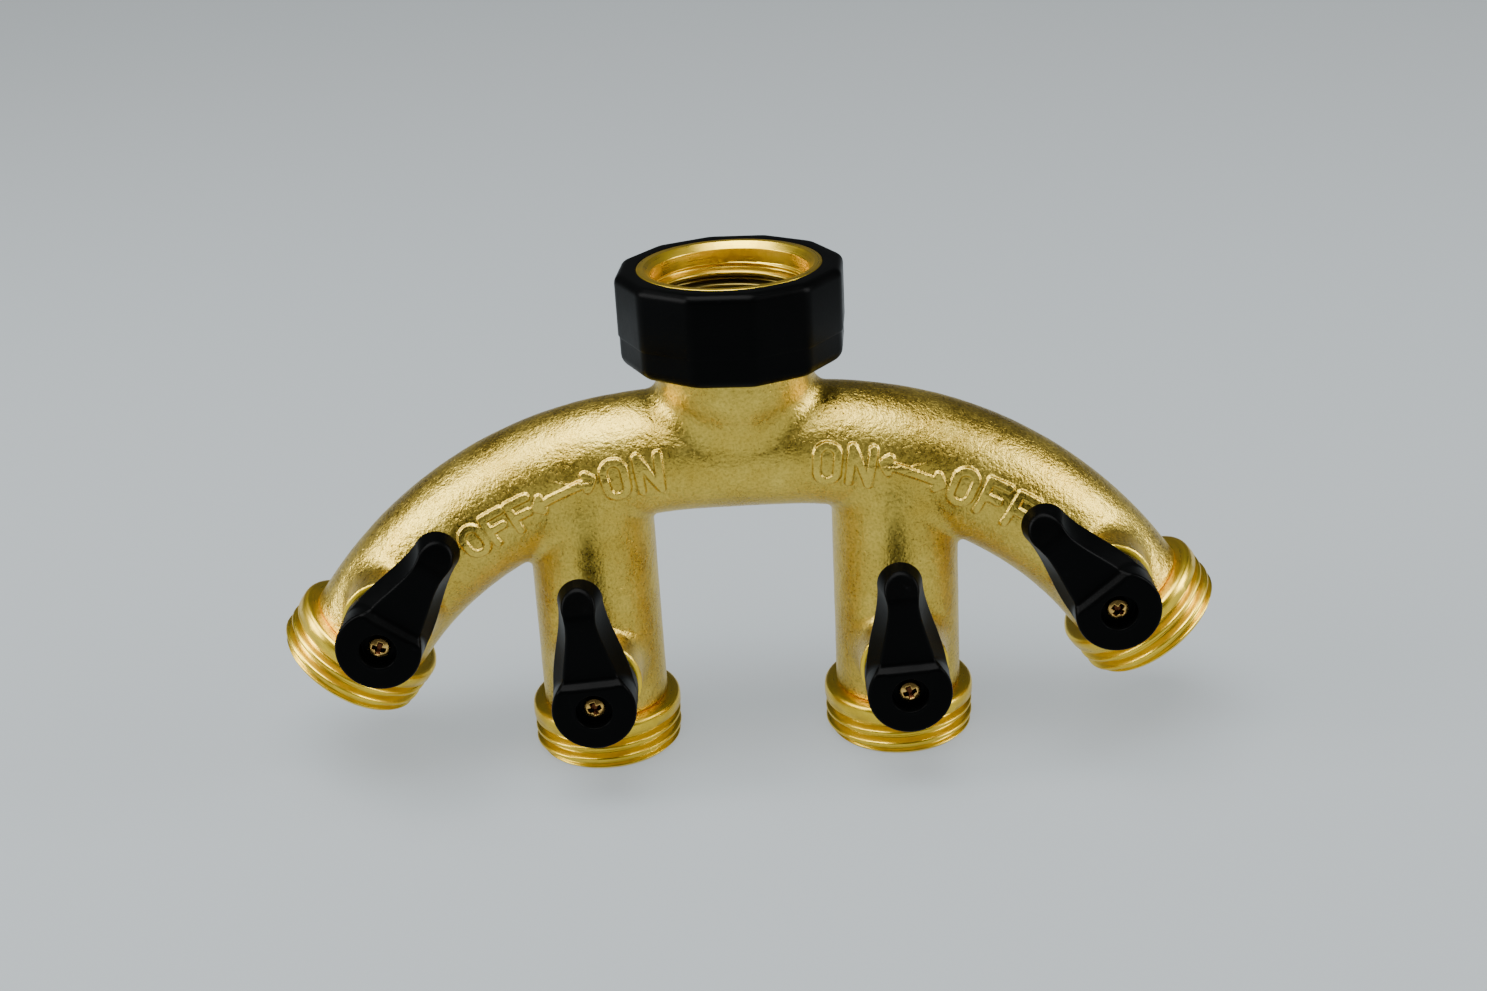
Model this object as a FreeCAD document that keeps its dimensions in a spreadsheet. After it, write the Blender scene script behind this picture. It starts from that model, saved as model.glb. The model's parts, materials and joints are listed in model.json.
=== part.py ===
import FreeCAD, Part
import math
import os
import sys

import Sketcher
from FreeCAD import Placement, Rotation, Vector

# Four-way garden-hose splitter, in millimetres.
# Frame: the origin is the centre of the inlet washer's sealing face, where a tap's threaded spout ends.
# +Z points up along the inlet axis, X runs along the arch, and the handles face -Y.

doc = FreeCAD.newDocument("hose_splitter")
sheet = doc.addObject("Spreadsheet::Sheet", "sizes")


class Size(float):
    """A number that also carries its formula in the sheet, so that a property can be bound to it."""

    def __new__(cls, value, formula):
        number = super().__new__(cls, value)
        number.formula = formula
        return number

    def __add__(self, other):
        return Size(float(self) + float(other), f"({self.formula} + {formula(other)})")

    def __radd__(self, other):
        return Size(float(other) + float(self), f"({formula(other)} + {self.formula})")

    def __sub__(self, other):
        return Size(float(self) - float(other), f"({self.formula} - {formula(other)})")

    def __rsub__(self, other):
        return Size(float(other) - float(self), f"({formula(other)} - {self.formula})")

    def __mul__(self, other):
        return Size(float(self) * float(other), f"({self.formula} * {formula(other)})")

    __rmul__ = __mul__

    def __truediv__(self, other):
        return Size(float(self) / float(other), f"({self.formula} / {formula(other)})")

    def __neg__(self):
        return Size(-float(self), f"(-{self.formula})")


def formula(value):
    """The text that stands for a value in an expression."""
    return value.formula if isinstance(value, Size) else f"{float(value):.6f}"


def size(alias, value):
    """Write one dimension in the next row of the sheet and return it."""
    size.row += 1
    sheet.set(f"A{size.row}", alias)
    sheet.set(f"B{size.row}", f"{float(value):.6f}")
    sheet.setAlias(f"B{size.row}", alias)
    return Size(round(float(value), 6), f"sizes.{alias}")


size.row = 0

# Hose thread, 3/4 inch with 11.5 turns per inch, drawn as parallel ridges of the same pitch and depth
thread_pitch = size("thread_pitch", 25.4 / 11.5)
male_major_radius = size("male_major_radius", 13.45)
male_minor_radius = size("male_minor_radius", 12.1)
female_minor_radius = size("female_minor_radius", 12.3)
female_major_radius = size("female_major_radius", 13.6)
thread_land = size("thread_land", 0.35)
thread_flank = size("thread_flank", 0.78)
outlet_turns = 3
inlet_turns = 2

# Arch: a short straight crown, an arc on each side and a short straight end
crown_depth = size("crown_depth", 23.9)
crown_half_length = size("crown_half_length", 8.7)
arch_radius = size("arch_radius", 70.8)
arch_sweep = size("arch_sweep", 53.0)
arm_end_length = size("arm_end_length", 3.9)
crown_tube_radius = size("crown_tube_radius", 10.65)
arm_tube_radius = size("arm_tube_radius", 11.3)
arm_end_radius = size("arm_end_radius", 11.0)
arm_widest_at = 0.5
arch_stations = 21
waterway_radius = size("waterway_radius", 6.8)

# Inner legs
leg_spacing = size("leg_spacing", 53.4)
leg_length = size("leg_length", 46.8)
leg_top_radius = size("leg_top_radius", 11.0)
leg_end_radius = size("leg_end_radius", 11.2)

# Inlet neck, the ring that holds the nut on it, and the washer
neck_radius = size("neck_radius", 13.3)
neck_shoulder_depth = size("neck_shoulder_depth", 6.4)
neck_dome_depth = size("neck_dome_depth", 9.6)
neck_spigot_radius = size("neck_spigot_radius", 9.92)
neck_bore_radius = size("neck_bore_radius", 6.5)
washer_thickness = size("washer_thickness", 2.4)
washer_radius = size("washer_radius", 12.6)
washer_bore_radius = size("washer_bore_radius", 8.0)
retainer_top_depth = size("retainer_top_depth", 2.9)
retainer_thickness = size("retainer_thickness", 1.0)
retainer_radius = size("retainer_radius", 12.0)
retainer_groove_radius = size("retainer_groove_radius", 9.0)
retainer_gap = size("retainer_gap", 3.0)

# Inlet nut
nut_mouth_height = size("nut_mouth_height", 8.6)
nut_ring_radius = size("nut_ring_radius", 15.6)
nut_ring_bottom_depth = size("nut_ring_bottom_depth", 6.0)
nut_lip_top_depth = size("nut_lip_top_depth", 4.0)
nut_lip_radius = size("nut_lip_radius", 10.0)
nut_relief_radius = size("nut_relief_radius", 12.9)
nut_entry_radius = size("nut_entry_radius", 13.3)
nut_rim_radius = size("nut_rim_radius", 14.4)
nut_key_depth = size("nut_key_depth", 0.5)
grip_corner_radius = size("grip_corner_radius", 19.6)
grip_edge = size("grip_edge", 1.4)
grip_height = size("grip_height", 16.1)
grip_bore_radius = size("grip_bore_radius", 13.9)
grip_sides = 12
grip_turn = 10.0

# Outlet fittings
flange_thickness = size("flange_thickness", 2.5)
flange_edge = size("flange_edge", 1.2)
outlet_bore_radius = size("outlet_bore_radius", 8.0)
outlet_throat_radius = size("outlet_throat_radius", 6.0)
outlet_end_radius = size("outlet_end_radius", 12.4)
spigot_radius = size("spigot_radius", 9.9)
spigot_length = size("spigot_length", 4.6)

# Ball valve, in the valve's own frame: the origin is the ball's centre, z runs out along the stem,
# and y runs along the pipe towards the inlet
valve_height = size("valve_height", 10.0)
ball_radius = size("ball_radius", 8.0)
port_radius = size("port_radius", 4.8)
slot_width = size("slot_width", 3.2)
slot_floor = size("slot_floor", 6.0)
seat_near = size("seat_near", 4.2)
seat_far = size("seat_far", 8.55)
seat_radius = size("seat_radius", 8.5)
seat_bore_radius = size("seat_bore_radius", 5.2)
chamber_radius = size("chamber_radius", 8.6)
ball_gap = size("ball_gap", 0.03)
running_gap = size("running_gap", 0.05)
boss_radius = size("boss_radius", 7.8)
boss_face = size("boss_face", 16.0)
boss_edge = size("boss_edge", 0.4)
throat_radius = size("throat_radius", 6.0)
throat_length = size("throat_length", 8.0)

# Stem, from the tang in the ball's slot to the end in the handle's socket
stem_tang_radius = size("stem_tang_radius", 3.6)
stem_collar_radius = size("stem_collar_radius", 4.9)
stem_collar_base = size("stem_collar_base", 8.55)
stem_collar_top = size("stem_collar_top", 9.4)
collar_seat = size("collar_seat", 10.2)
stem_gland_radius = size("stem_gland_radius", 3.75)
stem_gland_top = size("stem_gland_top", 15.7)
stem_drive_radius = size("stem_drive_radius", 2.9)
stem_drive_flat = size("stem_drive_flat", 2.2)
stem_top = size("stem_top", 22.3)
seal_heights = [size("lower_seal_height", 11.9), size("upper_seal_height", 14.1)]
seal_groove_radius = size("seal_groove_radius", 2.75)
seal_groove_half = size("seal_groove_half", 0.6)
seal_ring_radius = size("seal_ring_radius", 3.26)
seal_section_radius = size("seal_section_radius", 0.5)

# Handle and its screw
hub_radius = size("hub_radius", 7.2)
hub_base = size("hub_base", 17.3)
hub_face = size("hub_face", 26.3)
hub_face_end = size("hub_face_end", 4.2)
step_end = size("step_end", 5.5)
step_height = size("step_height", 24.7)
crest_reach = size("crest_reach", 17.2)
crest_height = size("crest_height", 26.5)
tip_reach = size("tip_reach", 22.5)
tip_height = size("tip_height", 23.3)
tip_radius = size("tip_radius", 3.9)
lever_root_radius = size("lever_root_radius", 6.6)
lever_base = size("lever_base", 20.6)
lever_draft = size("lever_draft", 13.0)
screw_well_radius = size("screw_well_radius", 3.1)
screw_seat = size("screw_seat", 24.0)
screw_head_radius = size("screw_head_radius", 1.9)
screw_head_height = size("screw_head_height", 1.3)
screw_shank_radius = size("screw_shank_radius", 0.98)
screw_length = size("screw_length", 8.0)
screw_hole_radius = size("screw_hole_radius", 1.0)
screw_recess_width = size("screw_recess_width", 0.7)
screw_recess_span = size("screw_recess_span", 2.4)
screw_recess_depth = size("screw_recess_depth", 0.8)

# Stop: a lug on the boss runs in an arc-shaped recess under the hub
turn_past_on = size("turn_past_on", 8.0)
turn_past_off = size("turn_past_off", 92.0)
lug_inner_radius = size("lug_inner_radius", 4.6)
lug_outer_radius = size("lug_outer_radius", 6.2)
lug_angle = size("lug_angle", 24.0)
lug_top = size("lug_top", 18.8)
recess_gap = size("recess_gap", 0.2)
recess_end_gap = size("recess_end_gap", 1.0)
recess_top = size("recess_top", 19.2)

# How far past its target a cutting tool reaches, so that no two faces coincide
OVERCUT = 1.0
# How many times as wide as what it trims a cutting block is
BLOCK_WIDTH = 3
FULL_TURN = 360.0
STEM_ALONG_Z = Placement(Vector(0, 0, 0), Rotation(Vector(1, 0, 0), 90))

# Each branch: its name, the side it is on, whether it is an outer one, and how far its handle
# is turned from in line with the pipe towards its shut end, in degrees
BRANCHES = [
    ("left_outer", -1, True, 1.3),
    ("left_inner", -1, False, 3.6),
    ("right_inner", 1, False, -3.1),
    ("right_outer", 1, True, -2.4),
]


# ---- helpers -------------------------------------------------------------------------------------

def bind(thing, **properties):
    """Set properties, bound to the sheet wherever the value has a formula."""
    for name, value in properties.items():
        if isinstance(value, Size):
            thing.setExpression(name, value.formula)
        else:
            setattr(thing, name, value)
    return thing


def place(thing, x=0.0, y=0.0, z=0.0, rotation=None):
    """Give an object its Placement, with the position bound to the sheet."""
    thing.Placement = Placement(Vector(x, y, z), rotation or Rotation())
    for axis, value in (("x", x), ("y", y), ("z", z)):
        if isinstance(value, Size):
            thing.setExpression(f"Placement.Base.{axis}", value.formula)
    return thing


def cylinder(radius, height, z=0.0, rotation=None, x=0.0, y=0.0, **properties):
    thing = doc.addObject("Part::Cylinder", "cylinder")
    return place(bind(thing, Radius=radius, Height=height, **properties), x, y, z, rotation)


def box(length, width, height, x, y, z):
    """A box centred on x and y, standing on z."""
    thing = doc.addObject("Part::Box", "box")
    bind(thing, Length=length, Width=width, Height=height)
    return place(thing, x - length / 2, y - width / 2, z)


def join(things):
    fuse = doc.addObject("Part::MultiFuse", "join")
    fuse.Shapes = things
    fuse.Refine = True
    return fuse


def cut(base, tools):
    result = doc.addObject("Part::Cut", "cut")
    result.Base = base
    result.Tool = tools[0] if len(tools) == 1 else join(tools)
    return result


def common(first, second):
    result = doc.addObject("Part::MultiCommon", "common")
    result.Shapes = [first, second]
    return result


def tube(outer, inner, base, height, rotation=None, y=0.0):
    """A ring of rectangular section."""
    solid = cylinder(outer, height, base, rotation, y=y)
    bore = cylinder(inner, height, base, rotation, y=y)
    return cut(solid, [bore])


def sector(outer, inner, angle, base, top, middle):
    """Part of a ring, centred on the direction middle, in degrees round the z axis."""
    turn = Rotation(Vector(0, 0, 1), float(middle) - float(angle) / 2)
    solid = cylinder(outer, top - base, base, turn, Angle=angle)
    return cut(solid, [cylinder(inner, top - base, base)])


def origin_plane(body, role):
    return next(plane for plane in body.Origin.OriginFeatures if plane.Role == role)


def new_sketch(body, name, role):
    sketch = body.newObject("Sketcher::SketchObject", name)
    sketch.AttachmentSupport = [(origin_plane(body, role), "")]
    sketch.MapMode = "FlatFace"
    return sketch


def pin_point(sketch, edge, end, across, up):
    """Hold one end of an edge at its distance from the sketch's two axes."""
    for kind, axis_edge, value in (("DistanceX", -2, across), ("DistanceY", -1, up)):
        if float(value) == 0.0:
            sketch.addConstraint(Sketcher.Constraint("PointOnObject", edge, end, axis_edge))
            continue
        index = sketch.addConstraint(Sketcher.Constraint(kind, -1, 1, edge, end, float(value)))
        if isinstance(value, Size):
            sketch.setExpression(f"Constraints[{index}]", value.formula)


def draw_outline(sketch, points):
    """Close straight lines through points, each given by its distances from the two axes."""
    corners = [Vector(float(across), float(up), 0) for across, up in points]
    count = len(corners)
    for i in range(count):
        sketch.addGeometry(Part.LineSegment(corners[i], corners[(i + 1) % count]))
    for i in range(count):
        sketch.addConstraint(Sketcher.Constraint("Coincident", i, 2, (i + 1) % count, 1))
    for i, (across, up) in enumerate(points):
        pin_point(sketch, i, 1, across, up)


def turned(name, points):
    """A body turned from an outline of (radius, height) corners about the z axis."""
    body = doc.addObject("PartDesign::Body", name)
    sketch = new_sketch(body, f"{name}_outline", "XZ_Plane")
    draw_outline(sketch, points)
    revolution = body.newObject("PartDesign::Revolution", f"{name}_turning")
    revolution.Profile = (sketch, [""])
    revolution.ReferenceAxis = (sketch, ["V_Axis"])
    revolution.Angle = FULL_TURN
    return body


def ridges(crest, root, start, turns):
    """Outline corners of a thread's grooves, from start upwards."""
    corners = []
    root_land = thread_pitch - thread_land - thread_flank * 2
    for turn in range(turns):
        base = start + thread_pitch * turn
        corners.append((crest, base))
        corners.append((root, base + thread_flank))
        corners.append((root, base + thread_flank + root_land))
        corners.append((crest, base + thread_flank * 2 + root_land))
    return corners


def finish(thing, label, placement=None):
    """Name a finished sub-part, and move it to its place."""
    thing.Label = label
    if placement is not None:
        thing.Placement = placement * thing.Placement
    finished.append(thing)


finished = []


# ---- where things are ----------------------------------------------------------------------------

def arch_point(distance):
    """Centre of the arch and the angle that it has fallen through, at a distance from the crown."""
    side = math.copysign(1.0, distance)
    run = abs(distance)
    sweep = math.radians(arch_sweep)
    arc_length = arch_radius * sweep
    angle = min(max(run - crown_half_length, 0.0) / arch_radius, sweep)
    x = min(run, crown_half_length) + arch_radius * math.sin(angle)
    z = -crown_depth - arch_radius * (1 - math.cos(angle))
    past = max(run - crown_half_length - arc_length, 0.0)
    x += past * math.cos(sweep)
    z -= past * math.sin(sweep)
    return Vector(side * x, 0, z), side * math.degrees(angle)


arch_half_length = crown_half_length + arch_radius * math.radians(arch_sweep) + arm_end_length


def arch_tube_radius(distance):
    """The tube swells from the crown to its widest place, then narrows to its end."""
    place_along = abs(distance) / arch_half_length
    if place_along < arm_widest_at:
        blend = (1 - math.cos(math.pi * place_along / arm_widest_at)) / 2
        return crown_tube_radius + (arm_tube_radius - crown_tube_radius) * blend
    rest = (place_along - arm_widest_at) / (1 - arm_widest_at)
    blend = (1 - math.cos(math.pi * rest)) / 2
    return arm_tube_radius + (arm_end_radius - arm_tube_radius) * blend


def outlet_frame(side, outer):
    """Placement of an outlet: origin at its joint with the casting, z back up the pipe."""
    if outer:
        centre, fall = arch_point(side * arch_half_length)
        return Placement(centre, Rotation(Vector(0, 1, 0), -side * (90 - abs(fall))))
    return Placement(Vector(side * leg_spacing / 2, 0, -crown_depth - leg_length), Rotation())


def valve_frame(side, outer):
    """Placement of a valve: origin at the ball's centre, z out along the stem, y up the pipe."""
    return outlet_frame(side, outer) * Placement(Vector(0, 0, valve_height), Rotation()) * STEM_ALONG_Z


def handle_turn(side, turn):
    """Rotation of everything that turns with a handle, from in line with the pipe."""
    return Placement(Vector(0, 0, 0), Rotation(Vector(0, 0, 1), -side * turn))


ALONG_PIPE = Rotation(Vector(1, 0, 0), -90)


# ---- casting -------------------------------------------------------------------------------------

def arch_loft(name, radius_at, reach):
    """A tube along the arch, lofted through circles set square to its centreline."""
    circles = []
    for i in range(arch_stations):
        distance = reach * (2 * i / (arch_stations - 1) - 1)
        centre, fall = arch_point(distance)
        circle = doc.addObject("Part::Circle", f"{name}_section")
        bind(circle, Radius=radius_at(distance))
        circle.Placement = Placement(centre, Rotation(Vector(0, 1, 0), 90 + fall))
        circles.append(circle)
    loft = doc.addObject("Part::Loft", name)
    loft.Sections = circles
    loft.Solid = True
    loft.Ruled = False
    return loft


def leg(side):
    """An inner leg, which grows a little towards its end."""
    thing = doc.addObject("Part::Cone", "leg")
    bind(thing, Radius1=leg_end_radius, Radius2=leg_top_radius, Height=leg_length)
    return place(thing, leg_spacing * side / 2, 0.0, -crown_depth - leg_length)


def neck():
    """The inlet neck, its spigot inside the nut, and the groove for the retaining ring."""
    groove_top = -(retainer_top_depth - running_gap)
    groove_bottom = -(retainer_top_depth + retainer_thickness + running_gap)
    return turned("neck", [
        (0.0, -neck_dome_depth),
        (neck_radius, -neck_dome_depth),
        (neck_radius, -neck_shoulder_depth),
        (neck_spigot_radius, -neck_shoulder_depth),
        (neck_spigot_radius, groove_bottom),
        (retainer_groove_radius, groove_bottom),
        (retainer_groove_radius, groove_top),
        (neck_spigot_radius, groove_top),
        (neck_spigot_radius, -(washer_thickness + running_gap)),
        (0.0, -(washer_thickness + running_gap)),
    ])


def neck_dome():
    """The neck's round underside, which flows into the arch."""
    thing = doc.addObject("Part::Sphere", "neck_dome")
    bind(thing, Radius=neck_radius)
    thing.Angle2 = 0  # the lower half only
    return place(thing, z=-neck_dome_depth)


def boss(frame, side):
    """A valve's boss, with the lug that stops the handle."""
    barrel = turned("boss", [
        (0.0, 0.0),
        (boss_radius, 0.0),
        (boss_radius, boss_face - boss_edge),
        (boss_radius - boss_edge, boss_face),
        (0.0, boss_face),
    ])
    middle_turn = (turn_past_off - turn_past_on) / 2
    lug_direction = 270 - side * middle_turn
    lug = sector(lug_outer_radius, lug_inner_radius, lug_angle, boss_face - boss_edge, lug_top, lug_direction)
    pair = join([barrel, lug])
    pair.Placement = frame
    return pair


def arch_waterway():
    """The arch's passage, which stops short of the outer valves where their throats take over."""
    valve_zone = valve_height + seat_far + throat_length / 2
    return arch_loft("arch_waterway", lambda distance: waterway_radius, arch_half_length - valve_zone)


def valve_cavity(frame, outer):
    """The space for one valve: chamber, socket for the outlet, gland and collar bores, throat."""
    down = -(valve_height + OVERCUT)
    socket_top = spigot_length - valve_height + running_gap
    chamber = cylinder(chamber_radius, seat_far + running_gap - down, rotation=ALONG_PIPE, y=down)
    socket = cylinder(spigot_radius + running_gap, socket_top - down, rotation=ALONG_PIPE, y=down)
    gland = cylinder(stem_gland_radius + running_gap, boss_face + OVERCUT)
    collar = cylinder(stem_collar_radius + running_gap * 2, collar_seat)
    rise = throat_length if outer else leg_length - valve_height
    throat = cylinder(throat_radius, rise + seat_far * int(outer), rotation=ALONG_PIPE)
    cavity = join([chamber, socket, gland, collar, throat])
    cavity.Placement = frame
    return cavity


def casting():
    neck_passage = cylinder(neck_bore_radius, crown_depth + OVERCUT, -crown_depth)
    arch = arch_loft("arch_tube", arch_tube_radius, arch_half_length)
    outside = [arch, leg(-1), leg(1), neck(), neck_dome()]
    passages = [arch_waterway(), neck_passage]
    for _, side, outer, _ in BRANCHES:
        frame = valve_frame(side, outer)
        outside.append(boss(frame, side))
        passages.append(valve_cavity(frame, outer))
    finish(cut(join(outside), passages), "manifold_casting")


# ---- inlet ---------------------------------------------------------------------------------------

def inlet_washer():
    ring = tube(washer_radius, washer_bore_radius, -washer_thickness, washer_thickness)
    finish(ring, "inlet_washer")


def nut_retaining_ring():
    """A split ring that snaps into the neck's groove."""
    base = -(retainer_top_depth + retainer_thickness)
    ring = tube(retainer_radius, retainer_groove_radius + running_gap, base, retainer_thickness)
    split = box(retainer_gap, retainer_radius + OVERCUT, retainer_thickness + OVERCUT * 2,
                0.0, (retainer_radius + OVERCUT) / 2, base - OVERCUT)
    finish(cut(ring, [split]), "nut_retaining_ring")


def nut_ring():
    """The brass ring: rim, entry, thread, relief for the washer and ring, and the lip under them."""
    thread_start = thread_land
    thread_top = thread_start + thread_pitch * inlet_turns
    key_top = (nut_mouth_height - nut_ring_bottom_depth) / 2 + thread_pitch
    key_bottom = key_top - thread_pitch * 2
    outline = [
        (nut_lip_radius, -nut_ring_bottom_depth),
        (nut_ring_radius, -nut_ring_bottom_depth),
        (nut_ring_radius, key_bottom),
        (nut_ring_radius - nut_key_depth, key_bottom),
        (nut_ring_radius - nut_key_depth, key_top),
        (nut_ring_radius, key_top),
        (nut_ring_radius, nut_mouth_height),
        (nut_rim_radius, nut_mouth_height),
        (nut_entry_radius, nut_mouth_height - (nut_rim_radius - nut_entry_radius)),
        (nut_entry_radius, thread_top + thread_land + thread_flank),
        (female_minor_radius, thread_top + thread_land),
    ]
    outline += reversed(ridges(female_minor_radius, female_major_radius, thread_start, inlet_turns))
    outline += [
        (female_minor_radius, 0.0),
        (nut_relief_radius, 0.0),
        (nut_relief_radius, -nut_lip_top_depth),
        (nut_lip_radius, -nut_lip_top_depth),
    ]
    finish(turned("nut_ring", outline), "inlet_nut_ring")
    return key_bottom, key_top


def nut_grip(key_bottom, key_top):
    """The twelve-sided moulding, keyed into the ring's groove and closed under it."""
    bottom = nut_mouth_height - grip_height
    prism = doc.addObject("Part::Prism", "grip_prism")
    bind(prism, Circumradius=grip_corner_radius, Height=grip_height)
    prism.Polygon = grip_sides
    place(prism, z=bottom, rotation=Rotation(Vector(0, 0, 1), 270 + grip_turn))
    hollow = turned("grip_outline", [
        (grip_bore_radius, bottom),
        (grip_corner_radius - grip_edge, bottom),
        (grip_corner_radius, bottom + grip_edge),
        (grip_corner_radius, nut_mouth_height - grip_edge),
        (grip_corner_radius - grip_edge, nut_mouth_height),
        (nut_ring_radius, nut_mouth_height),
        (nut_ring_radius, key_top),
        (nut_ring_radius - nut_key_depth, key_top),
        (nut_ring_radius - nut_key_depth, key_bottom),
        (nut_ring_radius, key_bottom),
        (nut_ring_radius, -nut_ring_bottom_depth),
        (grip_bore_radius, -nut_ring_bottom_depth),
    ])
    finish(common(prism, hollow), "inlet_nut_grip")


# ---- branches ------------------------------------------------------------------------------------

def outlet_fitting(name, frame):
    """A threaded outlet, with a spigot in the casting that carries the lower seat."""
    thread_bottom = -(flange_thickness + thread_pitch * outlet_turns)
    grooves = ridges(male_major_radius, male_minor_radius, thread_bottom, outlet_turns)
    # the end's 45-degree chamfer, up to where it meets the first groove's flank
    flank_slope = (male_major_radius - male_minor_radius) / thread_flank
    chamfer = (male_major_radius - outlet_end_radius) / (1 + flank_slope)
    seat_pocket = seat_radius + running_gap
    pocket_floor = valve_height - seat_far - running_gap
    outline = [
        (outlet_bore_radius, thread_bottom),
        (outlet_end_radius, thread_bottom),
        (outlet_end_radius + chamfer, thread_bottom + chamfer),
    ]
    outline += grooves[1:]
    outline += [
        (male_major_radius, -flange_edge),
        (male_major_radius - flange_edge, 0.0),
        (spigot_radius, 0.0),
        (spigot_radius, spigot_length),
        (seat_pocket, spigot_length),
        (seat_pocket, pocket_floor),
        (outlet_throat_radius, pocket_floor),
        (outlet_throat_radius, -flange_thickness),
        (outlet_bore_radius, -flange_thickness - thread_flank),
    ]
    finish(turned(f"{name}_fitting", outline), f"{name}_outlet", frame)


def ball(name, frame):
    sphere = doc.addObject("Part::Sphere", "ball")
    bind(sphere, Radius=ball_radius)
    port = cylinder(port_radius, ball_radius * 2, rotation=ALONG_PIPE, y=-ball_radius)
    slot = box(ball_radius * 2, slot_width, ball_radius, 0.0, 0.0, slot_floor)
    finish(cut(sphere, [port, slot]), f"{name}_ball", frame)


def seat(name, frame, end):
    """A seat ring above (end 1) or below (end -1) the ball, cupped to fit it."""
    length = seat_far - seat_near
    base = seat_near if end > 0 else -seat_far
    blank = tube(seat_radius, seat_bore_radius, 0.0, length, ALONG_PIPE, y=base)
    sphere = doc.addObject("Part::Sphere", "seat_cup")
    bind(sphere, Radius=ball_radius + ball_gap)
    position = "upper" if end > 0 else "lower"
    finish(cut(blank, [sphere]), f"{name}_{position}_seat", frame)


def stem(name, frame):
    """The stem, turned and then milled flat at both ends, with the screw's tapped hole."""
    outline = [
        (0.0, slot_floor + running_gap),
        (stem_tang_radius, slot_floor + running_gap),
        (stem_tang_radius, stem_collar_base),
        (stem_collar_radius, stem_collar_base),
        (stem_collar_radius, stem_collar_top),
        (stem_gland_radius, stem_collar_top),
    ]
    for height in seal_heights:
        outline.append((stem_gland_radius, height - seal_groove_half))
        outline.append((seal_groove_radius, height - seal_groove_half))
        outline.append((seal_groove_radius, height + seal_groove_half))
        outline.append((stem_gland_radius, height + seal_groove_half))
    outline += [
        (stem_gland_radius, stem_gland_top),
        (stem_drive_radius, stem_gland_top),
        (stem_drive_radius, stem_top),
        (0.0, stem_top),
    ]
    tang_half = slot_width / 2 - running_gap
    cutters = [cylinder(screw_hole_radius, screw_length, stem_top - screw_length + OVERCUT)]
    for sign in (-1, 1):
        # the tang's two flats, square to the pipe
        block = stem_tang_radius
        cutters.append(box(block * BLOCK_WIDTH, block, stem_collar_base - slot_floor + running_gap,
                           0.0, (tang_half + block / 2) * sign, slot_floor - running_gap))
        # the drive end's two flats, in line with the pipe
        cutters.append(box(block, block * BLOCK_WIDTH, stem_top - stem_gland_top + OVERCUT,
                           (stem_drive_flat + block / 2) * sign, 0.0, stem_gland_top))
    finish(cut(turned(f"{name}_stem_blank", outline), cutters), f"{name}_stem", frame)


def stem_seals(name, frame):
    for position, height in zip(("lower", "upper"), seal_heights):
        ring = doc.addObject("Part::Torus", "seal_ring")
        bind(ring, Radius1=seal_ring_radius, Radius2=seal_section_radius)
        finish(ring, f"{name}_{position}_stem_seal", frame * Placement(Vector(0, 0, height), Rotation()))


def thrust_washer(name, frame):
    base = stem_collar_top + running_gap
    thickness = collar_seat - running_gap - base
    ring = tube(stem_collar_radius, stem_gland_radius + running_gap * 2, base, thickness)
    finish(ring, f"{name}_thrust_washer", frame)


def handle(name, frame):
    """The lever moulding: a drafted teardrop and a round hub, cut to the lever's top outline."""
    body = doc.addObject("PartDesign::Body", f"{name}_lever")
    outline = new_sketch(body, f"{name}_lever_outline", "XY_Plane")
    reach = tip_reach - tip_radius
    draw_teardrop(outline, lever_root_radius, tip_radius, reach)
    pad = body.newObject("PartDesign::Pad", f"{name}_lever_pad")
    pad.Profile = outline
    bind(pad, Length=crest_height - lever_base, TaperAngle=-lever_draft)
    place(body, z=lever_base)

    hub = cylinder(hub_radius, hub_face - hub_base, hub_base)
    tail = -(hub_radius + OVERCUT)
    above = crest_height + OVERCUT
    shaper_body = doc.addObject("PartDesign::Body", f"{name}_shaper")
    side_view = new_sketch(shaper_body, f"{name}_side_view", "YZ_Plane")
    draw_outline(side_view, [
        (tail, hub_face),
        (hub_face_end, hub_face),
        (step_end, step_height),
        (crest_reach, crest_height),
        (tip_reach, tip_height),
        (tip_reach + OVERCUT, tip_height),
        (tip_reach + OVERCUT, above),
        (tail, above),
    ])
    shaper = shaper_body.newObject("PartDesign::Pad", f"{name}_shaper_pad")
    shaper.Profile = side_view
    bind(shaper, Length=hub_radius * BLOCK_WIDTH)
    shaper.Midplane = True

    recess_angle = turn_past_off + turn_past_on + lug_angle + recess_end_gap * 2
    recess = sector(lug_outer_radius + recess_gap, lug_inner_radius - recess_gap, recess_angle,
                    hub_base - OVERCUT, recess_top, 270)
    socket_depth = stem_top - hub_base + running_gap
    socket = common(
        cylinder(stem_drive_radius + running_gap, socket_depth + OVERCUT, hub_base - OVERCUT),
        box((stem_drive_flat + running_gap) * 2, hub_radius * 2, socket_depth + OVERCUT,
            0.0, 0.0, hub_base - OVERCUT),
    )
    screw_hole = cylinder(screw_hole_radius, hub_face - stem_top, stem_top)
    well = cylinder(screw_well_radius, hub_face - screw_seat + OVERCUT, screw_seat)
    solid = cut(join([body, hub]), [shaper_body, recess, socket, screw_hole, well])
    finish(solid, f"{name}_handle", frame)


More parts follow.
